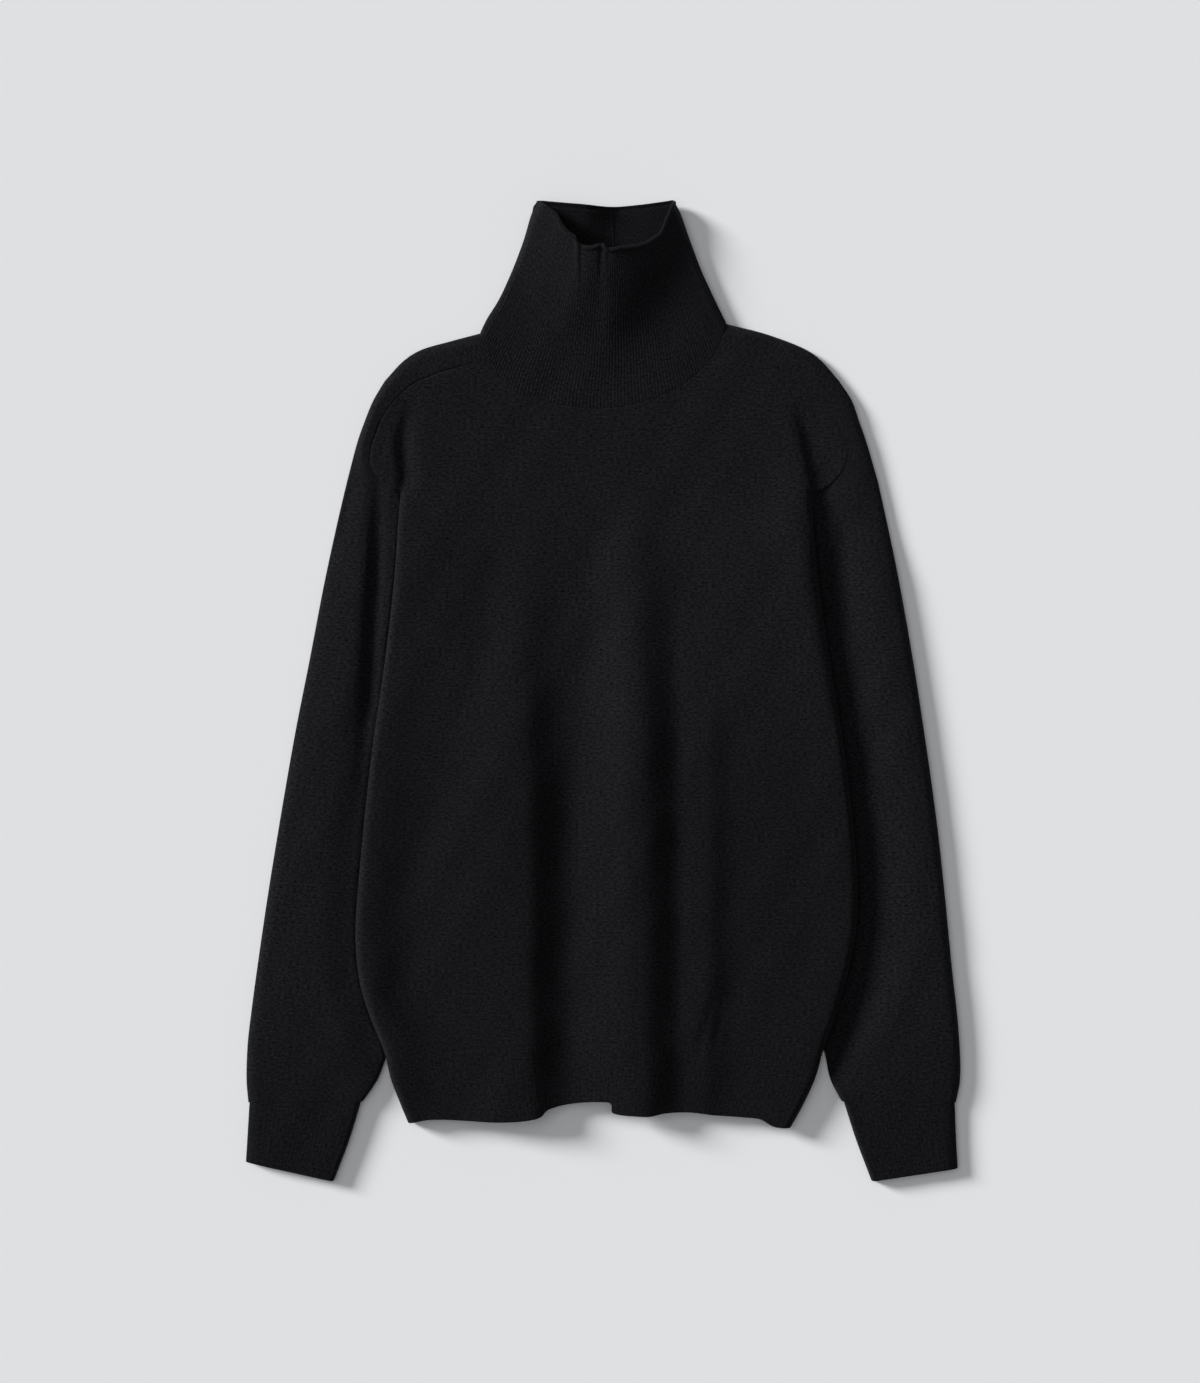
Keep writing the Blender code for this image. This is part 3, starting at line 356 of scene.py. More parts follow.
def coons(bottom, top, left, right, u, v):
    """Plan points of the patch between four curves."""
    corners = [bottom(0), bottom(1), top(0), top(1)]
    u1 = u[..., None]
    v1 = v[..., None]
    ruled_v = (1 - v1) * bottom(u) + v1 * top(u)
    ruled_u = (1 - u1) * left(v) + u1 * right(v)
    flat = ((1 - u1) * (1 - v1) * corners[0] + u1 * (1 - v1) * corners[1]
            + (1 - u1) * v1 * corners[2] + u1 * v1 * corners[3])
    return ruled_v + ruled_u - flat


def quarter(d, w):
    """Height share of a rounded edge: 0 at the edge, 1 from the distance w on."""
    return np.sqrt(clamp(1 - (1 - clamp(d / w)) ** 2))


def fold_steps(w, count):
    """Distances from a folded edge that divide its rounding evenly."""
    return w * (1 - np.cos(np.linspace(0, np.pi / 2, count + 1)))


# ---- heights ----
def down(stretch, y):
    """Share of a stretch that lies above y, smoothly from 0 to 1 going down."""
    return step((stretch[0] - y) / stretch[1])


def armpit_crease(x, y):
    right = x - table(ARMPIT_CREASE, 1, y)
    right = right / np.where(right < 0, CREASE_WIDTH_RIGHT, CREASE_WIDTH_INSIDE)
    left = x - table(ARMPIT_CREASE, 3, y)
    left = left / np.where(left < 0, CREASE_WIDTH_LEFT, CREASE_WIDTH_BEYOND)
    return table(ARMPIT_CREASE, 2, y) * bell(right) + table(ARMPIT_CREASE, 4, y) * bell(left)


def lift(x, y, ramp=UNDER_RAMP, underarm=UNDERARM):
    """How far the sleeves lift the body that lies on them; ramp is its width at the right, left."""
    high = OVER_SLEEVE * down(underarm, y)
    right = step((-x + table(SLEEVE_INNER, 1, y) + LIFT_INSIDE + ramp[0]) / ramp[0])
    left = step((x - table(SLEEVE_INNER, 2, y) + LIFT_INSIDE + ramp[1]) / ramp[1])
    return high * np.maximum(right, left)


def ridges(x, y):
    total = np.zeros_like(x)
    for rows in RIDGES:
        off = x - table(rows, 1, y)
        rise = step(1 + off / table(rows, 3, y))
        fall = bell(off / table(rows, 4, y))
        total += table(rows, 2, y) * np.where(off < 0, rise, fall)
    return total


def side_swell(x, y):
    right = (x - table(BODY_EDGE, 1, y) - SWELL_FROM_EDGE) / SWELL_WIDTH
    left = (table(BODY_EDGE, 2, y) - x - SWELL_FROM_EDGE) / SWELL_WIDTH
    return table(SIDE_SWELL, 1, y) * bell(right) + table(SIDE_SWELL, 2, y) * bell(left)


def front_height(x, y):
    lifted = LAY + lift(x, y, FRONT_RAMP, FRONT_UNDERARM)
    return lifted + ridges(x, y) + side_swell(x, y) - armpit_crease(x, y)


def sleeve_height(x, y, near_outer, width):
    """Upper layer of a sleeve before its edges are rounded."""
    right_gap = table(BODY_EDGE, 1, y) - x
    left_gap = x - table(BODY_EDGE, 2, y)
    beside = BESIDE_BODY * step((right_gap + BESIDE_FROM) / BESIDE_WIDTH)
    clear = np.maximum(beside + (1 - BESIDE_BODY) * step((right_gap - CLEAR_START) / CLEAR_RIGHT),
                       step((left_gap - CLEAR_START_LEFT) / CLEAR_LEFT))
    free = LAY + SLEEVE_RISE * down(RISE, y) - CUFF_DROP * down(DROP, y)
    under = PRESSED + (free - PRESSED) * clear
    pressed = down(UNDERARM, y) * (1 - down(UNPRESSED, y))
    off = (x - table(SLEEVE_VALLEY, 1, y)) / VALLEY_WIDTH
    valley = table(SLEEVE_VALLEY, 2, y) * bell(off) * (x < 0)
    drop = np.where(x < 0, table(SLEEVE_CROWN, 1, y), table(SLEEVE_CROWN, 2, y))
    reach = np.minimum(np.where(x < 0, CROWN_WIDTH_RIGHT, CROWN_WIDTH_LEFT), 0.5 * width)
    crown = drop * clamp(1 - near_outer / reach) ** 2
    top = free + (under - free) * pressed - armpit_crease(x, y) - valley - crown
    above = top - SLEEVE_LEAST
    return SLEEVE_LEAST + (above + np.sqrt(above ** 2 + LEAST_BLEND ** 2)) / 2


# ---- surfaces: each gives outer points for shares u across and v along ----
UNDERARM_V = 0.70  # share of the body's side taken by the side seam
UNDERARM_BLEND = 0.02  # share over which a folded side opens out above the underarm
SLEEVE_BREAKS = [0.0, 0.74, 0.87, 1.0]  # shares at the cuff, underarm, shoulder point and collar
SADDLE_U = 0.19  # share of the panel's top edge taken by one saddle seam
SIDE_ROUND = 6.5  # width of the rounding at a side seam
LEFT_ROUND_MORE = 9.0  # and that much more at the wearer's left below the underarm
LEFT_ROUND_START = (166.0, 36.0)  # down from here it grows, and down from there it gets less
LEFT_ROUND_END = (60.0, 110.0)
TUBE_ROUND = 9.0  # the rounding's width at a sleeve's or cuff's fold, and at its seam
TUBE_HEM_ROUND = 3.0
ROUND_SHARE = 0.4  # a fold's is no wider than this share of the sleeve
NARROW_FOLD = 2.2  # a fold's middle lies lower where the sleeve is narrow, from this height up
NARROW_FOLD_RISE = 0.12  # and rises by that share of the sleeve's width
TIGHTEST_FOLD = 0.5  # its rounding is no wider than this times its height squared
COLLAR_ROUND = 8.0  # the rounding's width at the collar's folds
# The lower layers' roundings have these shares of those widths.
LOWER_SIDE = 0.7
LOWER_FOLD = 0.8
LOWER_HEM = 0.93
LOWER_COLLAR = 0.875
PANEL_WIDTH = 385.0  # the pieces' mean sizes, to space their columns and seams
PANEL_LENGTH = 560.0
NECK_STATIONS = 90  # points along the neck seam
SLEEVE_LENGTH = 700.0
HEM_WIDTH = 350.0
HEM_HEIGHT = 56.0
CUFF_WIDTH = 88.0
CUFF_HEIGHT = 55.0
COLLAR_WIDTH = 290.0
COLLAR_HEIGHT = 120.0


def column_path(rows, column):
    """The plan curve through one column of a table, from its lowest y up."""
    return Path([(row[column], row[0]) for row in rows[::-1]])


def below_share(at, v):
    """1 below the share at of a side, falling to 0 just above it."""
    return step((at + UNDERARM_BLEND - v) / UNDERARM_BLEND)


def panel_surface(bottom, top, right, left, upper, folded):
    """A body panel between four plan curves, with folded(v) the share of its sides' fold."""
    def surface(u, v):
        plan = coons(bottom, top, right, left, u, v)
        return body_points(plan, u, right(v), left(v), upper, folded(v))
    return surface


def body_surface(neck, upper):
    """The front (upper) or back panel, from the hem rib to the collar."""
    breaks = [0, UNDERARM_V, 1]
    right = Chain([column_path(BODY_EDGE, 1), Path(ARMHOLE_RIGHT)], breaks)
    left = Chain([column_path(BODY_EDGE, 2), Path(ARMHOLE_LEFT)], breaks)
    top = Chain([Path(SADDLE_RIGHT), Path(neck), Path(SADDLE_LEFT[::-1])],
                [0, SADDLE_U, 1 - SADDLE_U, 1])
    return panel_surface(Path(HEM_SEAM), top, right, left, upper, lambda v: below_share(UNDERARM_V, v))


def hem_surface(hem, upper):
    right, left = Path(HEM_EDGE_RIGHT[::-1]), Path(HEM_EDGE_LEFT[::-1])
    return panel_surface(Path(hem), Path(HEM_SEAM), right, left, upper, np.ones_like)


def body_points(plan, u, right, left, upper, folded):
    """Puts a body panel's plan points at their height, rounding its folded sides."""
    x = plan[..., 0]
    y = plan[..., 1]
    width = norms(left - right)
    near_right = u * width
    near_left = (1 - u) * width
    under = lift(x, y)
    if upper:
        more = down(LEFT_ROUND_START, y) - down(LEFT_ROUND_END, y)
        round_left = SIDE_ROUND + LEFT_ROUND_MORE * more
        rounded = quarter(near_right, SIDE_ROUND) * quarter(near_left, round_left)
        seam = FOLD + under + SEAM
        z = front_height(x, y)
        z = z - folded * (z - seam) * (1 - rounded)
    else:
        narrower = SIDE_ROUND * LOWER_SIDE
        rounded = quarter(near_right, narrower) * quarter(near_left, narrower)
        seam = FOLD + under - SEAM
        z = under + folded * (seam - under) * (1 - rounded)
    return np.stack([x, y, z], -1)


def tube_surface(inner_path, outer_path, closed):
    """A flat tube, with closed(v) the share by which its inner edge is closed.  u runs from that edge
    over the top to the fold (0.5) and back."""
    def surface(u, v):
        upper = u <= 0.5
        t = np.where(upper, 2 * u, 2 - 2 * u)
        a = inner_path(v)
        b = outer_path(v)
        plan = a + (b - a) * t[..., None]
        width = norms(b - a)
        return tube_points(plan, t * width, (1 - t) * width, width, upper, closed(v))
    return surface


def sleeve_surface(side):
    """A sleeve with its saddle strap, and its inner and outer plan curves."""
    if side < 0:
        outline, column, armhole, saddle = OUTLINE_RIGHT, 1, ARMHOLE_RIGHT, SADDLE_RIGHT
    else:
        outline, column, armhole, saddle = OUTLINE_LEFT, 2, ARMHOLE_LEFT, SADDLE_LEFT
    outer_path = Chain([Path(outline[part]) for part in ("arm", "cap", "strap")], SLEEVE_BREAKS)
    inner_path = Chain([column_path(SLEEVE_INNER, column), Path(armhole), Path(saddle)], SLEEVE_BREAKS)
    surface = tube_surface(inner_path, outer_path, lambda v: below_share(SLEEVE_BREAKS[1], v))
    return surface, inner_path, outer_path


def tube_points(plan, near_inner, near_outer, width, upper, closed):
    """Puts a flat tube's plan points at their height, rounding its fold and its closed inner edge."""
    x = plan[..., 0]
    y = plan[..., 1]
    top = sleeve_height(x, y, near_outer, width)
    fold = np.minimum(np.minimum(FOLD, NARROW_FOLD + NARROW_FOLD_RISE * width), 0.5 * top)
    wide = np.minimum(np.minimum(TUBE_ROUND, ROUND_SHARE * width), TIGHTEST_FOLD * fold ** 2)
    high, low = INNER_EDGE_HEIGHTS
    edge = high + (low - high) * down(INNER_EDGE, y)
    z_up = top - (top - fold) * (1 - quarter(near_outer, wide))
    z_up = z_up - closed * (z_up - edge - SEAM) * (1 - quarter(near_inner, TUBE_HEM_ROUND))
    z_down = fold * (1 - quarter(near_outer, LOWER_FOLD * wide))
    low_seam = 1 - quarter(near_inner, LOWER_HEM * TUBE_HEM_ROUND)
    z_down = z_down + closed * (edge - SEAM - z_down) * low_seam
    return np.stack([x, y, np.where(upper, z_up, z_down)], -1)


def cuff_surface(cuff):
    return tube_surface(Path(cuff["inner"][::-1]), Path(cuff["outer"][::-1]), np.ones_like)


def collar_base(neck):
    """The collar's lower edge, along a strap's end, the panel's neck and the other strap's end."""
    stations = Path(neck)(np.linspace(0, 1, NECK_STATIONS + 1))
    return Path([COLLAR_EDGE_RIGHT[0], *stations, COLLAR_EDGE_LEFT[0]], smooth=False)


def collar_surface():
    """The collar.  u runs from the centre back seam over the wearer's right edge (0.25), the front and
    the left edge (0.75) back to the seam; v runs from the neck to the rim."""
    edge_right = Path(COLLAR_EDGE_RIGHT)
    edge_left = Path(COLLAR_EDGE_LEFT)
    base_front = collar_base(NECK_FRONT)
    base_back = collar_base(NECK_BACK)
    rim_front = Path(RIM_FRONT)
    rim_back = Path(RIM_BACK)

    def surface(u, v):
        front = (u >= 0.25) & (u <= 0.75)
        behind = np.where(u < 0.25, COLLAR_SEAM_SHARE * (0.25 - u) / 0.25,
                          1 - (1 - COLLAR_SEAM_SHARE) * (u - 0.75) / 0.25)
        t = np.where(front, (u - 0.25) * 2, behind)
        plan_front = coons(base_front, rim_front, edge_right, edge_left, t, v)
        plan_back = coons(base_back, rim_back, edge_right, edge_left, t, v)
        plan = np.where(front[..., None], plan_front, plan_back)
        x = plan[..., 0]
        y = plan[..., 1]
        length = np.where(front, base_front.length + (rim_front.length - base_front.length) * v,
                          base_back.length + (rim_back.length - base_back.length) * v)
        near = np.minimum(t, 1 - t) * length
        up = clamp((v - BACK_RISE_FROM) / (1 - BACK_RISE_FROM)) ** BACK_RISE_POWER
        rightward = step((BACK_RISE_X - x) / BACK_RISE_WIDTH)
        fold = FOLD + COLLAR_FOLD_RISE * v + COLLAR_FOLD_LIFT * up * rightward
        off = x - COLLAR_CREST_X
        below, at_rim = COLLAR_CREST_LEFT
        crest_left = below + (at_rim - below) * step(2 * v - 1)
        off = off / np.where(off < 0, COLLAR_CREST_RIGHT, crest_left)
        stand = table(COLLAR_STAND, 1, v) * bell(off) * np.sin(np.pi * t) ** COLLAR_SQUARE
        top = LAY + COLLAR_RISE * v + stand
        z_up = top - (top - fold) * (1 - quarter(near, COLLAR_ROUND))
        back = (BACK_RISE_LEFT + (BACK_RISE_RIGHT - BACK_RISE_LEFT) * rightward) * up
        z_down = back + (fold - back) * (1 - quarter(near, LOWER_COLLAR * COLLAR_ROUND))
        return np.stack([x, y, np.where(front, z_up, z_down)], -1)
    return surface


# ---- finer form: seams, ribs, puckers, small creases ----
FINE = 2.5  # pitch of the body's and sleeves' grids
COARSE = 4.0  # pitch of the back's grid
RIB_PITCH_ALONG = 3.2  # pitch along the ribs of the hem and cuffs, and of the collar
COLLAR_PITCH = 3.0
FOLD_COLUMNS = 7  # grid columns over a fold's rounding, a ribbed piece's, and a seam's
RIBBED_FOLD_COLUMNS = 6
SEAM_COLUMNS = 4
SEAM_ROWS = (0.6, 1.4)  # rows this close to a seam shape its dip
SEAM_WIDTH = 2.6
SEAM_DIP = 0.3  # how deep an edge sinks at a seam
NECK_DIP = 0.12
CUFF_DIP = 0.12
SHOULDER_DIP_RIGHT = 0.9  # the armhole and saddle seams
SHOULDER_DIP_LEFT = 0.1
SADDLE_DIP_BLEND = 0.08  # shares over which the panels' and the sleeves' dips there fade in
ARMHOLE_DIP = (0.74, 0.06)
SLEEVE_DIP = (0.76, 0.03)
SLEEVE_DIP_END = 0.06  # and out towards the collar
INNER_SHARE = 0.6  # share of the fine form that the cloth's inner face follows
FORM_BLEND = 12.0  # the small forms fade out this far from a panel's sides
TUBE_BLEND = 0.06  # and over this share of a tube's girth from its edges
RIM_BULGE = 0.9  # how round an open edge is: share of half the cloth's thickness
TURN_SHARE = 0.3  # an edge turns back where its mean step is under this share of the next
SHARP_ANGLE = 62.0  # faces that meet at more degrees are shaded with a sharp edge
RIB_SAMPLES = 6  # grid columns to a rib
RIB_COUNT_FRONT = 85  # across the collar's front
RIB_COUNT_BACK = 62  # across its back, and round each fold
RIB_COUNT_FOLD = 4
RIB_HEIGHT = 0.36
RIB_POWER = 0.7  # the smaller, the broader a rib's top
BEAD_HEIGHT = 1.2  # the collar's rim rolls into a bead
BEAD_WIDTH = 3.8
BEAD_REACH = 1.5  # the closer rows start this many widths below the rim
BEAD_ROWS = 8
RIB_FADE = 0.45  # the collar's ribs are lower at the rim by this share
COLLAR_FORM_BLEND = 0.03  # shares over which its front's forms and its back's ribs fade in
COLLAR_RIB_BLEND = 0.02
ALLOWANCE = 0.35  # height and half width of the collar's seam on its inside
ALLOWANCE_WIDTH = 2.6
HEM_RIB_HEIGHT = 0.13

# Slow unevenness of the lying cloth: wave along x, wave along y, turn, height.
RIPPLES = [(83, 61, 0.4, 0.22), (-57, 97, 1.9, 0.20), (41, -71, 3.1, 0.14), (29, 37, 5.2, 0.09)]
# Soft creases from end to end.
CREASES = [
    # x0, y0, x1, y1, half width, depth (negative stands up)
    (93, -262, 81.5, -306, 2.8, 1.2),
    (99, -270, 94.5, -303, 2.8, 1.2),
    (109, -284, 105, -302, 2.8, 0.6),
    (-150, 232, -128, 226, 6, 0.5),
    (40, -296, 64, -292, 4, 0.5),
    (-118, -296, -96, -300, 4.5, 0.4),
    (60, 60, 62, -345, 6, 1.6),
    (20, 40, 22, -335, 8, -1),
]
CREASE_END = 1.5  # half widths over which a crease's ends fade
CREASE_TAPER = 0.15  # and share of a half wave that its depth leaves out there


def ripples(x, y):
    total = np.zeros_like(x)
    for along_x, along_y, turn, height in RIPPLES:
        total += height * np.sin(2 * np.pi * (x / along_x + y / along_y) + turn)
    return total


def creases(x, y):
    """Depth of the creases at plan points."""
    total = np.zeros_like(x)
    for x0, y0, x1, y1, width, depth in CREASES:
        length = math.hypot(x1 - x0, y1 - y0)
        along = ((x - x0) * (x1 - x0) + (y - y0) * (y1 - y0)) / length
        off = ((y - y0) * (x1 - x0) - (x - x0) * (y1 - y0)) / length
        inside = clamp(along / length)
        ends = (along - inside * length) / (CREASE_END * width)
        deepest = np.sin(np.pi * (CREASE_TAPER + (1 - 2 * CREASE_TAPER) * inside))
        total += depth * np.exp(-(off / width) ** 2 / 2 - ends ** 2 / 2) * deepest
    return total


def front_form(x, y):
    """The front's small forms: its unevenness, less its creases."""
    return ripples(x, y) - creases(x, y)


def unit(vectors):
    return vectors / np.maximum(np.linalg.norm(vectors, axis=-1, keepdims=True), 1e-12)


def normals(surface, u, v, flip):
    """Unit normals of a surface by small differences, turned outward."""
    du = 0.0004
    dv = 0.0008
    along_u = surface(clamp(u + du), v) - surface(clamp(u - du), v)
    along_v = surface(u, clamp(v + dv)) - surface(u, clamp(v - dv))
    n = unit(np.cross(along_u, along_v))
    return -n if flip else n


def in_plane(n, edge):
    """Takes a normal's part across an edge out, so that the edge's face is upright in plan."""
    along = np.gradient(edge, axis=0)
    ahead = np.diff(edge, axis=0, append=2 * edge[-1:] - edge[-2:-1])
    turned = norms(along[:, :2]) < TURN_SHARE * norms(ahead[:, :2])
    along = np.where(turned[:, None], ahead, along)
    across = unit(np.stack([-along[:, 1], along[:, 0], np.zeros(len(along))], -1))
    return unit(n - (n * across).sum(-1, keepdims=True) * across)


def seat_edges(points, n, side_folded):
    """Squares a grid's edge normals to its seams; side_folded rows have sideways ones instead."""
    n = n.copy()
    for row in (0, -1):
        n[row] = in_plane(n[row], points[row])
    for column in (0, -1):
        along = np.gradient(points[:, column], axis=0)
        upright = in_plane(n[:, column], points[:, column])
        away = unit(np.stack([along[:, 1], -along[:, 0], np.zeros(len(along))], -1))
        inward = points[:, 1 if column == 0 else -2] - points[:, column]
        away = np.where((away * inward).sum(-1, keepdims=True) > 0, -away, away)
        n[:, column] = np.where(side_folded[:, None], away, upright)
    return n


def edge_distance(points, side):
    """Distance of each grid point from one side of the grid, along the grid."""
    axis = 0 if side in ("bottom", "top") else 1
    lengths = norms(np.diff(points, axis=axis))
    start = np.zeros_like(np.take(lengths, [0], axis=axis))
    run = np.concatenate([start, np.cumsum(lengths, axis=axis)], axis=axis)
    if side in ("top", "right"):
        run = np.take(run, [-1], axis=axis) - run
    return run


def seam_dips(points, seams):
    """How far the cloth sinks at its seams: pairs of a grid's side and the depth there."""
    total = np.zeros(points.shape[:2])
    for side, depth in seams:
        near = clamp(1 - edge_distance(points, side) / SEAM_WIDTH)
        total = np.maximum(total, depth * near ** 2)
    return total


def rim_points(outer, inner, outward):
    """Rows between an open edge's outer and inner points, on a half round."""
    middle = (outer + inner) / 2
    half = (outer - inner) / 2
    reach = outward * (WALL / 2 * RIM_BULGE)
    turns = (math.pi / 4, math.pi / 2, 3 * math.pi / 4)
    return [middle + half * math.cos(a) + reach * math.sin(a) for a in turns]


def shell(name, surface, u, v, folded, flip, material, cloth, relief=0, seams=(), open_rows=(),
          inside=0):
    """A closed shell of the cloth's thickness from a surface at the grids of shares u and v.

    cloth is each point's place on the flat cloth; relief is how far it stands proud, and inside how far
    on the inner face."""
    base = surface(u, v)
    n = seat_edges(base, normals(surface, u, v, flip), folded)
    dips = seam_dips(base, seams)
    raised = -dips + relief
    outer = base + raised[..., None] * n
    inner = base + (INNER_SHARE * (raised + dips) - WALL - inside)[..., None] * n
    rings = list(outer)
    if "top" in open_rows:
        rings += rim_points(outer[-1], inner[-1], unit(base[-1] - base[-2]))
    rings += list(inner[::-1])
    if "bottom" in open_rows:
        rings += rim_points(inner[0], outer[0], unit(base[0] - base[1]))
    rows = len(base)
    top_extra = 3 if "top" in open_rows else 0
    flat = list(cloth) + [cloth[-1]] * top_extra + list(cloth[::-1])
    flat += [cloth[0]] * (len(rings) - len(flat))
    return ring_mesh(name, np.array(rings), np.array(flat), rows, top_extra, flip, material)


def add(name, data):
    thing = bpy.data.objects.new(name, data)
    bpy.context.scene.collection.objects.link(thing)
    return thing


def ring_mesh(name, rings, flat, rows, top_extra, flip, material):
    """A mesh of closed rings, one for each column, with its two sides closed."""
    count, many = rings.shape[:2]
    index = np.arange(count * many).reshape(count, many)
    ahead = np.roll(index, -1, axis=0)
    faces = np.stack([index[:, :-1], index[:, 1:], ahead[:, 1:], ahead[:, :-1]], -1).reshape(-1, 4)
    faces = faces[:, ::-1] if flip else faces
    polygons = faces.tolist()
    first_inner = rows + top_extra
    last_inner = first_inner + rows - 1
    for column, turned in ((0, flip), (many - 1, not flip)):
        ring = index[:, column]
        sides = [ring[[r, r + 1, last_inner - r - 1, last_inner - r]] for r in range(rows - 1)]
        if top_extra:
            sides.append(ring[rows - 1:first_inner + 1])
        if count > 2 * rows + top_extra:
            sides.append(join(ring[last_inner:], ring[:1]))
        polygons += [(side[::-1] if turned else side).tolist() for side in sides]
    mesh = bpy.data.meshes.new(name)
    mesh.from_pydata((rings.reshape(-1, 3) * MM).tolist(), [], polygons)
    mesh.update()
    layer = mesh.uv_layers.new(name="cloth")
    corner = np.zeros(len(mesh.loops), dtype=np.int32)
    mesh.loops.foreach_get("vertex_index", corner)
    layer.data.foreach_set("uv", (flat.reshape(-1, 2)[corner] * MM).ravel())
    mesh.shade_smooth()
    mesh.set_sharp_from_angle(angle=math.radians(SHARP_ANGLE))
    mesh.materials.append(material)
    return add(name, mesh)


# ---- the pieces ----
def even(start, stop, length, pitch):
    """Even shares from start to stop, about pitch apart over a length."""
    return np.linspace(start, stop, max(2, round(length / pitch)) + 1)


def near_seams(shares, length):
    """Adds shares close to both ends, which shape a seam's dip."""
    close = np.array(SEAM_ROWS) / length
    return np.unique(join(shares, shares[0] + close, shares[-1] - close))


def detailed(surface, share, form):
    """A surface with small forms put into its height, by the share given at u."""
    def finer(u, v):
        points = surface(u, v).copy()
        points[..., 2] += share(u) * form(points[..., 0], points[..., 1])
        return points
    return finer


def away_from_sides(u, width):
    """Share of a panel's small forms: none at its two sides."""
    return step(np.minimum(u, 1 - u) * width / FORM_BLEND)


def body_piece(name, neck, upper, pitch, material):
    edge = fold_steps(SIDE_ROUND, FOLD_COLUMNS) / PANEL_WIDTH
    saddle = even(edge[-1], SADDLE_U, SADDLE_U * PANEL_WIDTH, pitch)[1:]
    middle = even(SADDLE_U, 1 - SADDLE_U, (1 - 2 * SADDLE_U) * PANEL_WIDTH, pitch)[1:-1]
    half = join(edge, saddle)
    across = join(half, middle, 1 - half[::-1])
    below = even(0, UNDERARM_V, UNDERARM_V * PANEL_LENGTH, pitch)
    above = even(UNDERARM_V, 1, (1 - UNDERARM_V) * PANEL_LENGTH, pitch)[1:]
    v = near_seams(join(below, above), PANEL_LENGTH)
    folded = v < UNDERARM_V + 1e-6
    u, v = np.meshgrid(across, v)
    plain = body_surface(neck, upper)
    cloth = plain(u, v)[..., :2]
    if not upper:
        return shell(name, plain, u, v, folded, True, material, cloth,
                     seams=(("bottom", SEAM_DIP), ("top", SEAM_DIP)))
    surface = detailed(plain, lambda a: away_from_sides(a, PANEL_WIDTH), front_form)
    saddle_right = SHOULDER_DIP_RIGHT * step((SADDLE_U - u) / SADDLE_DIP_BLEND)
    saddle_left = SHOULDER_DIP_LEFT * step((u - 1 + SADDLE_U) / SADDLE_DIP_BLEND)
    armhole = step((v - ARMHOLE_DIP[0]) / ARMHOLE_DIP[1])
    seams = (("bottom", SEAM_DIP), ("top", np.maximum(NECK_DIP, saddle_right + saddle_left)),
             ("left", SHOULDER_DIP_RIGHT * armhole), ("right", SHOULDER_DIP_LEFT * armhole))
    return shell(name, surface, u, v, folded, False, material, cloth, seams=seams)


# Through this offset the painted shade towards the hem also darkens the sleeves' lower ends and the
# cuffs.
SLEEVE_CLOTH_START = 80.0  # the cloth's own zero lies this far above the cuff's seam
CAP_LENGTH = 90.0  # of the sleeve beside the armhole, and of its strap, to space their rows
TUBE_COLUMNS = 38  # grid columns across a sleeve's layer


def on_top_of_tube(u):
    """Share of a tube's small forms: none at its two edges and on the lower layer."""
    return step((0.5 - u) / TUBE_BLEND) * step(u / TUBE_BLEND)


def sleeve_piece(name, side, material):
    plain, inner_path, outer_path = sleeve_surface(side)
    tube = even(0, SLEEVE_BREAKS[1], SLEEVE_BREAKS[1] * SLEEVE_LENGTH, FINE)
    cap = even(SLEEVE_BREAKS[1], SLEEVE_BREAKS[2], CAP_LENGTH, FINE)[1:]
    strap = even(SLEEVE_BREAKS[2], 1, CAP_LENGTH, FINE)[1:]
    v = near_seams(join(tube, cap, strap), SLEEVE_LENGTH)
    widths = norms(outer_path(v) - inner_path(v))
    folded = v < SLEEVE_BREAKS[1] + 1e-6
    seam = fold_steps(TUBE_HEM_ROUND, SEAM_COLUMNS)
    half = []
    for width, closed in zip(widths, folded):
        fold = fold_steps(min(TUBE_ROUND, ROUND_SHARE * width), FOLD_COLUMNS) / width
        hem = (seam if closed else np.linspace(0, TUBE_HEM_ROUND, len(seam))) / width
        middle = np.linspace(hem[-1], 1 - fold[-1], TUBE_COLUMNS)[1:-1]
        half.append(join(hem, middle, 1 - fold[::-1]) / 2)
    half = np.array(half)
    u = np.concatenate([half, 1 - half[:, -2::-1]], 1)
    v = np.repeat(v[:, None], u.shape[1], 1)
    surface = detailed(plain, on_top_of_tube, ripples)
    cloth = np.stack([(2 * u - 1) * widths[:, None], v * SLEEVE_LENGTH - SLEEVE_CLOTH_START], -1)
    shoulder = SHOULDER_DIP_RIGHT if side < 0 else SHOULDER_DIP_LEFT
    shoulder = shoulder * step((v - SLEEVE_DIP[0]) / SLEEVE_DIP[1]) * step((1 - v) / SLEEVE_DIP_END)
    seams = (("bottom", CUFF_DIP), ("top", NECK_DIP), ("left", shoulder))
    return shell(name, surface, u, v, folded, side < 0, material, cloth, seams=seams)


def rib_shares(start, stop, count):
    """Shares that divide each rib evenly, and their places on the ribs (whole in the grooves)."""
    shares = np.linspace(start, stop, RIB_SAMPLES * count + 1)
    return shares, np.arange(len(shares)) / RIB_SAMPLES


def rib_profile(place):
    """Height share of a rib: round on top, sharp in the groove."""
    return np.abs(np.sin(np.pi * place)) ** RIB_POWER


def ribbed_layer(width, first, last):
    """Shares across a ribbed layer between two roundings, and the height share of its ribs there."""
    count = int((width - first[-1] - last[-1]) / RIB_PITCH)
    ribbed, place = rib_shares(first[-1] / width, 1 - last[-1] / width, count)
    raised = join(0 * first[1:], rib_profile(place), 0 * last[1:])
    return join(first[:-1] / width, ribbed, 1 - last[-2::-1] / width), raised


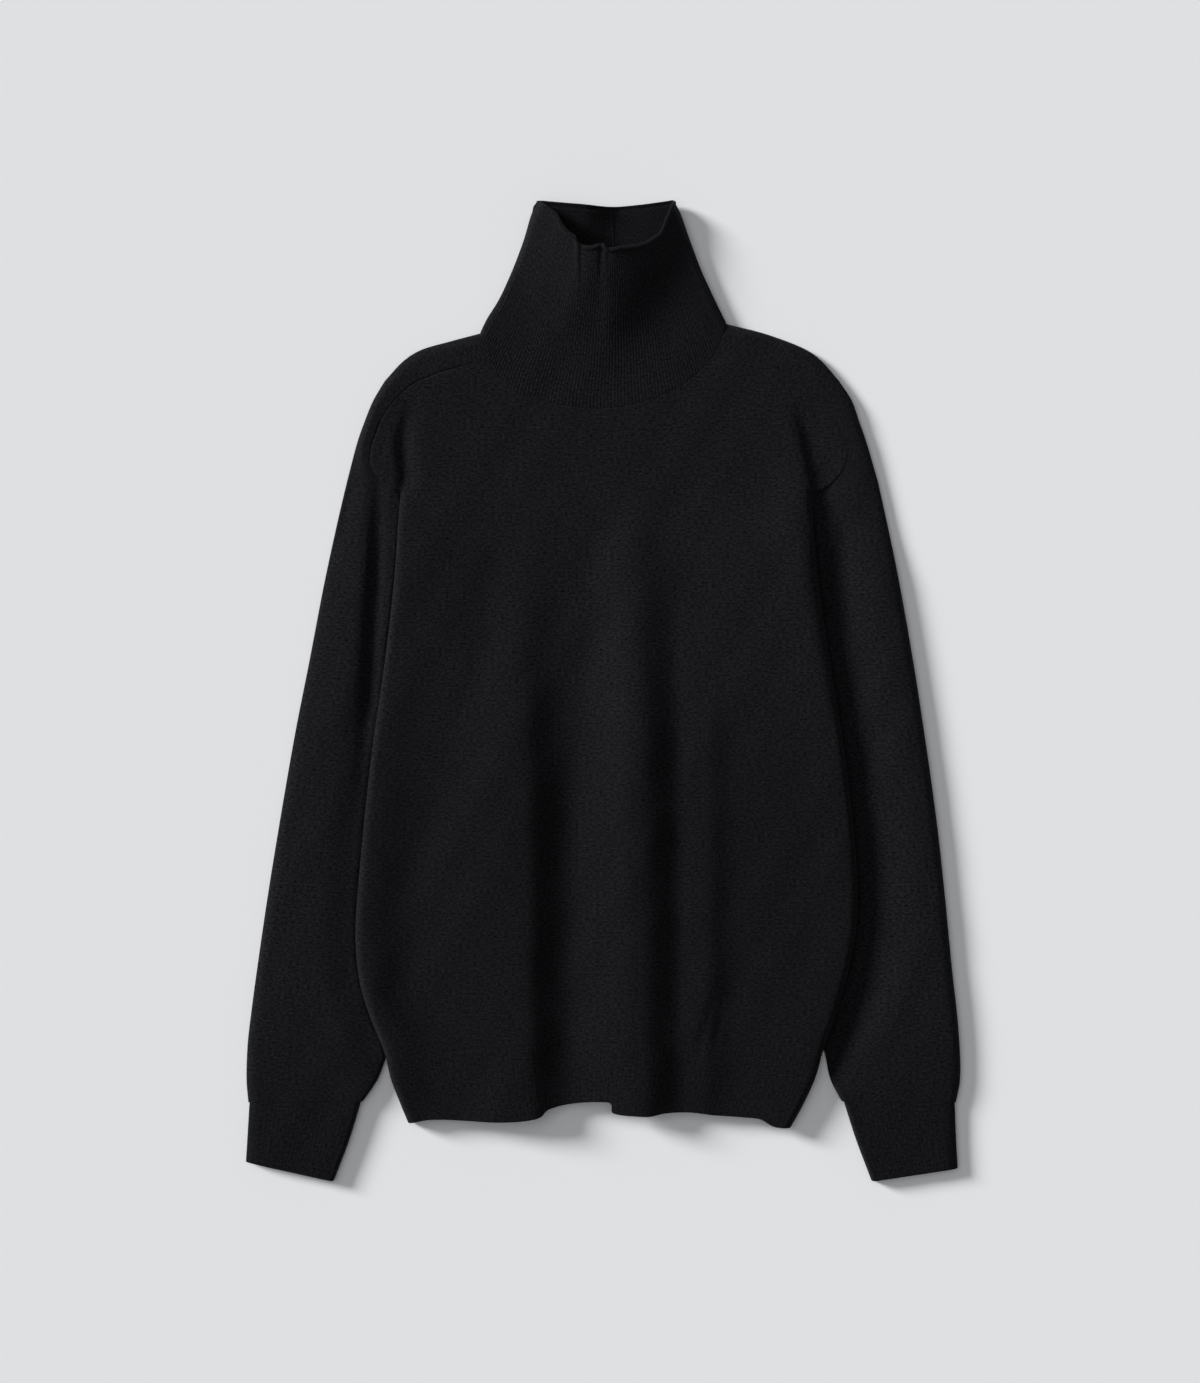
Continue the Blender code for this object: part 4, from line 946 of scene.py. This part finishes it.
def hem_piece(name, hem, upper, material):
    fold = fold_steps(SIDE_ROUND, RIBBED_FOLD_COLUMNS)
    across, raised = ribbed_layer(HEM_WIDTH, fold, fold)
    v = near_seams(even(0, 1, HEM_HEIGHT, RIB_PITCH_ALONG), HEM_HEIGHT)
    folded = np.ones(len(v), dtype=bool)
    u, v = np.meshgrid(across, v)
    plain = hem_surface(hem, upper)
    surface = detailed(plain, lambda a: away_from_sides(a, HEM_WIDTH), front_form) if upper else plain
    cloth = plain(u, v)[..., :2]
    # Where the ribs lie on the floor their crests stay flush.
    relief = HEM_RIB_HEIGHT * (raised if upper else raised - 1)
    seams = (("top", SEAM_DIP),)
    return shell(name, surface, u, v, folded, not upper, material, cloth, relief, seams, ("bottom",))


def cuff_piece(name, cuff, side, material):
    fold = fold_steps(TUBE_ROUND, RIBBED_FOLD_COLUMNS)
    layer, raised = ribbed_layer(CUFF_WIDTH, fold_steps(TUBE_HEM_ROUND, SEAM_COLUMNS), fold)
    half = layer / 2
    v = near_seams(even(0, 1, CUFF_HEIGHT, RIB_PITCH_ALONG), CUFF_HEIGHT)
    folded = np.ones(len(v), dtype=bool)
    u, v = np.meshgrid(join(half, 1 - half[-2::-1]), v)
    surface = detailed(cuff_surface(cuff), on_top_of_tube, ripples)
    cloth = np.stack([(2 * u - 1) * CUFF_WIDTH, (v - 1) * CUFF_HEIGHT - SLEEVE_CLOTH_START], -1)
    relief = HEM_RIB_HEIGHT * join(raised, raised[-2::-1] - 1)
    seams = (("top", CUFF_DIP),)
    return shell(name, surface, u, v, folded, side < 0, material, cloth, relief, seams, ("bottom",))


# Puckers down from the collar's front rim: x at the rim, x at the end, length, half width, depth.
PUCKERS = [(-21, -21, 46, 1.7, -1.3), (-19, -19.5, 40, 1.6, 0.9), (-1.5, -2.5, 36, 1.7, 1.6),
           (5, 3, 26, 1.8, 0.8)]


def puckers(x, v):
    """Depth of the collar's puckers at x, with v 1 at the rim."""
    from_rim = (1 - v) * COLLAR_HEIGHT
    total = np.zeros_like(x)
    for x_rim, x_end, length, width, depth in PUCKERS:
        middle = x_rim + (x_end - x_rim) * clamp(from_rim / length)
        total += depth * bell((x - middle) / width) * (1 - step(from_rim / length))
    return total


def collar_piece(name, material):
    plain = collar_surface()
    height = COLLAR_HEIGHT
    edge = fold_steps(COLLAR_ROUND, RIBBED_FOLD_COLUMNS) / COLLAR_WIDTH / 2
    back, back_place = rib_shares(0, 0.25 - edge[-1], RIB_COUNT_BACK // 2)
    front, front_place = rib_shares(0.25 + edge[-1], 0.75 - edge[-1], RIB_COUNT_FRONT)
    turn = join(0.25 - edge[-2::-1], 0.25 + edge[1:-1])
    turn_place = np.linspace(0, RIB_COUNT_FOLD, len(turn) + 2)[1:-1]
    across = join(back, turn, front, 1 - turn[::-1], 1 - back[::-1])
    place = join(back_place, turn_place, front_place, turn_place[::-1], back_place[::-1])
    v = near_seams(even(0, 1, height, COLLAR_PITCH), height)
    bead_rows = 1 - np.linspace(0, BEAD_REACH, BEAD_ROWS) * BEAD_WIDTH / height
    v = np.unique(join(v[v < 1 - BEAD_REACH * BEAD_WIDTH / height], bead_rows))
    folded = np.zeros(len(v), dtype=bool)
    u, v = np.meshgrid(across, v)

    def surface(a, b):
        points = plain(a, b).copy()
        x = points[..., 0]
        front_share = step((a - 0.25) / COLLAR_FORM_BLEND) * step((0.75 - a) / COLLAR_FORM_BLEND)
        points[..., 2] += front_share * (ripples(x, points[..., 1]) - puckers(x, b))
        return points

    cloth = np.stack([u * 2 * COLLAR_WIDTH, v * height], -1)
    bead = np.sin(np.pi * clamp((1 - v) * height / BEAD_WIDTH))
    # The ribs' crests stay flush here too.
    behind = step((0.25 - u) / COLLAR_RIB_BLEND) + step((u - 0.75) / COLLAR_RIB_BLEND)
    relief = (rib_profile(place) - behind) * RIB_HEIGHT * (1 - RIB_FADE * v) + BEAD_HEIGHT * bead
    from_seam = np.minimum(u, 1 - u) * 2 * COLLAR_WIDTH
    inside = ALLOWANCE * clamp(1 - from_seam / ALLOWANCE_WIDTH)
    seams = (("bottom", NECK_DIP), ("left", SEAM_DIP), ("right", SEAM_DIP))
    return shell(name, surface, u, v, folded, False, material, cloth, relief, seams, ("top",), inside)


# ---- materials ----
WOOL = (0.0076, 0.0076, 0.0092)
PAINTED_HEM_SHADE = 0.79  # painted shade of the light's falloff: the wool darkens to this share towards the hem, between these in metres
PAINTED_HEM_SHADE_RANGE = (-0.12, 0.04)
RIB_TONE = 0.93  # the ribs' share of the wool's colour, everywhere
BODY_WALE = 0.00135  # stitches' widths and height in metres
RIB_WALE = 0.0017
COURSE = 0.00105
YARN_DRIFT = 0.0009  # how far uneven yarn shifts them
STITCH_SLANT = -0.8  # how far a stitch's legs slant, in courses
# Contrast and offset of the tone of the wool's fibres and of its soft patches, and of the painted
# shade on its stitches, darker in their grooves and lighter on their tops.
HEATHER = (5.0, -1.5)
CLOUDS = (0.3, 0.85)
PAINTED_STITCH_SHADE = (0.5, 0.72)
FUZZ_RELIEF = 0.5  # shares of a stitch's height that fuzz and fibres add
HEATHER_RELIEF = 0.8


class Shading:
    """Short names for a material's nodes."""

    def __init__(self, name):
        self.material = bpy.data.materials.new(name)
        self.material.use_nodes = True
        self.tree = self.material.node_tree
        self.shader = self.tree.nodes["Principled BSDF"]

    def node(self, kind, **inputs):
        node = self.tree.nodes.new(kind)
        for key, value in inputs.items():
            self.put(node.inputs[key.replace("_", " ")], value)
        return node

    def put(self, socket, value):
        if isinstance(value, bpy.types.NodeSocket):
            self.tree.links.new(value, socket)
        else:
            socket.default_value = value

    def noise(self, place, **inputs):
        return self.node("ShaderNodeTexNoise", Vector=place, **inputs).outputs["Fac"]

    def look(self, **inputs):
        for key, value in inputs.items():
            self.put(self.shader.inputs[key.replace("_", " ")], value)

    def math(self, operation, *values):
        node = self.tree.nodes.new("ShaderNodeMath")
        node.operation = operation
        for socket, value in zip(node.inputs, values):
            self.put(socket, value)
        return node.outputs[0]


def stitches(shade, u, v, wale):
    """Height of plain knit: V stitches in a column every wale and a row every COURSE."""
    place = shade.math("FRACT", shade.math("DIVIDE", u, wale))
    off = shade.math("ABSOLUTE", shade.math("MULTIPLY_ADD", place, 2.0, -1.0))
    leg = shade.math("ABSOLUTE", shade.math("MULTIPLY_ADD", off, 2.0, -1.0))
    row = shade.math("FRACT", shade.math("MULTIPLY_ADD", off, STITCH_SLANT,
                                           shade.math("DIVIDE", v, COURSE)))
    along = shade.math("SINE", shade.math("MULTIPLY", row, math.pi))
    across = shade.math("SUBTRACT", 1.0, shade.math("POWER", leg, 2.0))
    return shade.math("MULTIPLY", along, across)


def knit_material(name, wale, share):
    shade = Shading(name)
    place = shade.node("ShaderNodeUVMap")
    place.uv_map = "cloth"
    uv = place.outputs["UV"]
    split = shade.node("ShaderNodeSeparateXYZ", Vector=uv)
    u = split.outputs["X"]
    v = split.outputs["Y"]
    drift = shade.noise(uv, Scale=180.0, Detail=2.0)
    shift = shade.math("MULTIPLY_ADD", drift, YARN_DRIFT, -YARN_DRIFT / 2.0)
    height = stitches(shade, shade.math("ADD", u, shift), shade.math("ADD", v, shift), wale)
    stretched = shade.node("ShaderNodeMapping", Vector=uv, Scale=(0.6, 1.0, 1.0))
    heather = shade.noise(stretched.outputs["Vector"], Scale=560.0, Detail=3.0, Roughness=0.65)
    clouds = shade.noise(uv, Scale=38.0, Detail=3.0)
    tone_and_shade = shade.math("MULTIPLY_ADD", heather, *HEATHER)
    tone_and_shade = shade.math("MULTIPLY", tone_and_shade, shade.math("MULTIPLY_ADD", clouds, *CLOUDS))
    # Painted shade: the stitches' grooves are darker and their tops lighter.
    tone_and_shade = shade.math("MULTIPLY", tone_and_shade, shade.math("MULTIPLY_ADD", height, *PAINTED_STITCH_SHADE))
    # Painted shade: darker towards the hem and the cuffs, standing in for the light's falloff.
    low = shade.node("ShaderNodeMapRange", Value=v, From_Min=PAINTED_HEM_SHADE_RANGE[0],
                     From_Max=PAINTED_HEM_SHADE_RANGE[1], To_Min=PAINTED_HEM_SHADE, To_Max=1.0)
    low.interpolation_type = "SMOOTHSTEP"
    tone_and_shade = shade.math("MULTIPLY", shade.math("MULTIPLY", tone_and_shade, low.outputs["Result"]), share)
    colour = shade.node("ShaderNodeVectorMath")
    colour.operation = "SCALE"
    colour.inputs[0].default_value = WOOL
    shade.put(colour.inputs["Scale"], tone_and_shade)
    fuzz = shade.noise(uv, Scale=2400.0, Detail=2.0)
    relief = shade.math("MULTIPLY_ADD", fuzz, FUZZ_RELIEF, height)
    relief = shade.math("MULTIPLY_ADD", heather, HEATHER_RELIEF, relief)
    bump = shade.node("ShaderNodeBump", Height=relief, Strength=0.6, Distance=0.00025)
    shade.look(Base_Color=colour.outputs["Vector"], Normal=bump.outputs["Normal"], Roughness=0.95,
               Specular_IOR_Level=0.08, Sheen_Weight=0.05, Sheen_Roughness=0.45,
               Sheen_Tint=(0.75, 0.75, 0.82, 1.0))
    return shade.material


# ---- floor, light, camera ----
FRAME_PIXELS = (1200, 1383)
MM_PER_PIXEL = 0.85
MIDDLE_PIXEL = (603.0, 691.0)  # where the photo shows the part's origin
LENS = 85.0
SENSOR = 36.0
LIGHT_AZIMUTH = 155.0  # where the light comes from, counted from +X towards +Y, in degrees
CLOTH_LEVEL = 9.0  # height at which a pixel measures MM_PER_PIXEL
SUNS = [
    # name, strength, spread and height above the horizon in degrees
    ("key", 4.95, 16.0, 21.0),
    ("fill", 0.75, 60.0, 75.0),
]
SKY = (0.97, 0.985, 1.0, 1.0)
SKY_STRENGTH = 0.14
FLOOR_REACH = 4.0  # in metres, as is its level, just under the cloth
FLOOR_LEVEL = -0.0002


def make_floor():
    shade = Shading("pale_floor")
    shade.look(Base_Color=(0.79, 0.797, 0.81, 1.0), Roughness=0.95, Specular_IOR_Level=0.1)
    mesh = bpy.data.meshes.new("floor")
    signs = [(-1, -1), (1, -1), (1, 1), (-1, 1)]
    corners = [(a * FLOOR_REACH, b * FLOOR_REACH, FLOOR_LEVEL) for a, b in signs]
    mesh.from_pydata(corners, [], [(0, 1, 2, 3)])
    mesh.materials.append(shade.material)
    add("floor", mesh)


def make_sun(name, energy, spread, elevation):
    sun = bpy.data.lights.new(name, "SUN")
    sun.energy = energy
    sun.angle = math.radians(spread)
    lamp = add(name, sun)
    lamp.rotation_euler = (0.0, math.pi / 2.0 - math.radians(elevation), math.radians(LIGHT_AZIMUTH))


def make_lights():
    world = bpy.data.worlds.new("studio")
    bpy.context.scene.world = world
    world.use_nodes = True
    sky = world.node_tree.nodes["Background"]
    sky.inputs["Color"].default_value = SKY
    sky.inputs["Strength"].default_value = SKY_STRENGTH
    for row in SUNS:
        make_sun(*row)


def make_camera():
    data = bpy.data.cameras.new("camera")
    data.lens = LENS
    data.sensor_width = SENSOR
    camera = add("camera", data)
    x = (FRAME_PIXELS[0] / 2.0 - MIDDLE_PIXEL[0]) * MM_PER_PIXEL
    y = (MIDDLE_PIXEL[1] - FRAME_PIXELS[1] / 2.0) * MM_PER_PIXEL
    away = LENS / SENSOR * max(FRAME_PIXELS) * MM_PER_PIXEL
    camera.location = (x * MM, y * MM, (away + CLOTH_LEVEL) * MM)
    bpy.context.scene.camera = camera


def main():
    bpy.context.scene.view_settings.view_transform = "Standard"
    body = knit_material("body_knit_wool", BODY_WALE, 1.0)
    rib = knit_material("rib_knit_wool", RIB_WALE, RIB_TONE)
    made = [
        # piece, its solid, its slot, what it lies on, flat width and length, cloth's area
        (body_piece("front_panel", NECK_FRONT, True, FINE, body),
         "front", "body_knit", "back_panel", (0.43, 0.61), 0.232),
        (body_piece("back_panel", NECK_BACK, False, COARSE, body),
         "back", "body_knit", "floor", (0.42, 0.60), 0.229),
        (sleeve_piece("right_sleeve", -1, body),
         "sleeve_right", "body_knit", "floor", (0.27, 0.72), 0.125),
        (sleeve_piece("left_sleeve", 1, body),
         "sleeve_left", "body_knit", "floor", (0.27, 0.72), 0.130),
        (collar_piece("turtleneck", rib),
         "collar", "rib_knit", "back_panel", (0.42, 0.15), 0.053),
        (hem_piece("front_hem", HEM_FRONT, True, rib),
         "hem_rib_front", "rib_knit", "back_hem", (0.39, 0.06), 0.022),
        (hem_piece("back_hem", HEM_BACK, False, rib),
         "hem_rib_back", "rib_knit", "floor", (0.37, 0.06), 0.0195),
        (cuff_piece("right_cuff", CUFF_RIGHT, -1, rib),
         "cuff_right", "rib_knit", "floor", (0.19, 0.06), 0.011),
        (cuff_piece("left_cuff", CUFF_LEFT, 1, rib),
         "cuff_left", "rib_knit", "floor", (0.19, 0.06), 0.011),
    ]
    for piece, node, slot, under, flat, area in made:
        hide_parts(node)
        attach(piece, "root")
    make_floor()
    make_lights()
    make_camera()


main()
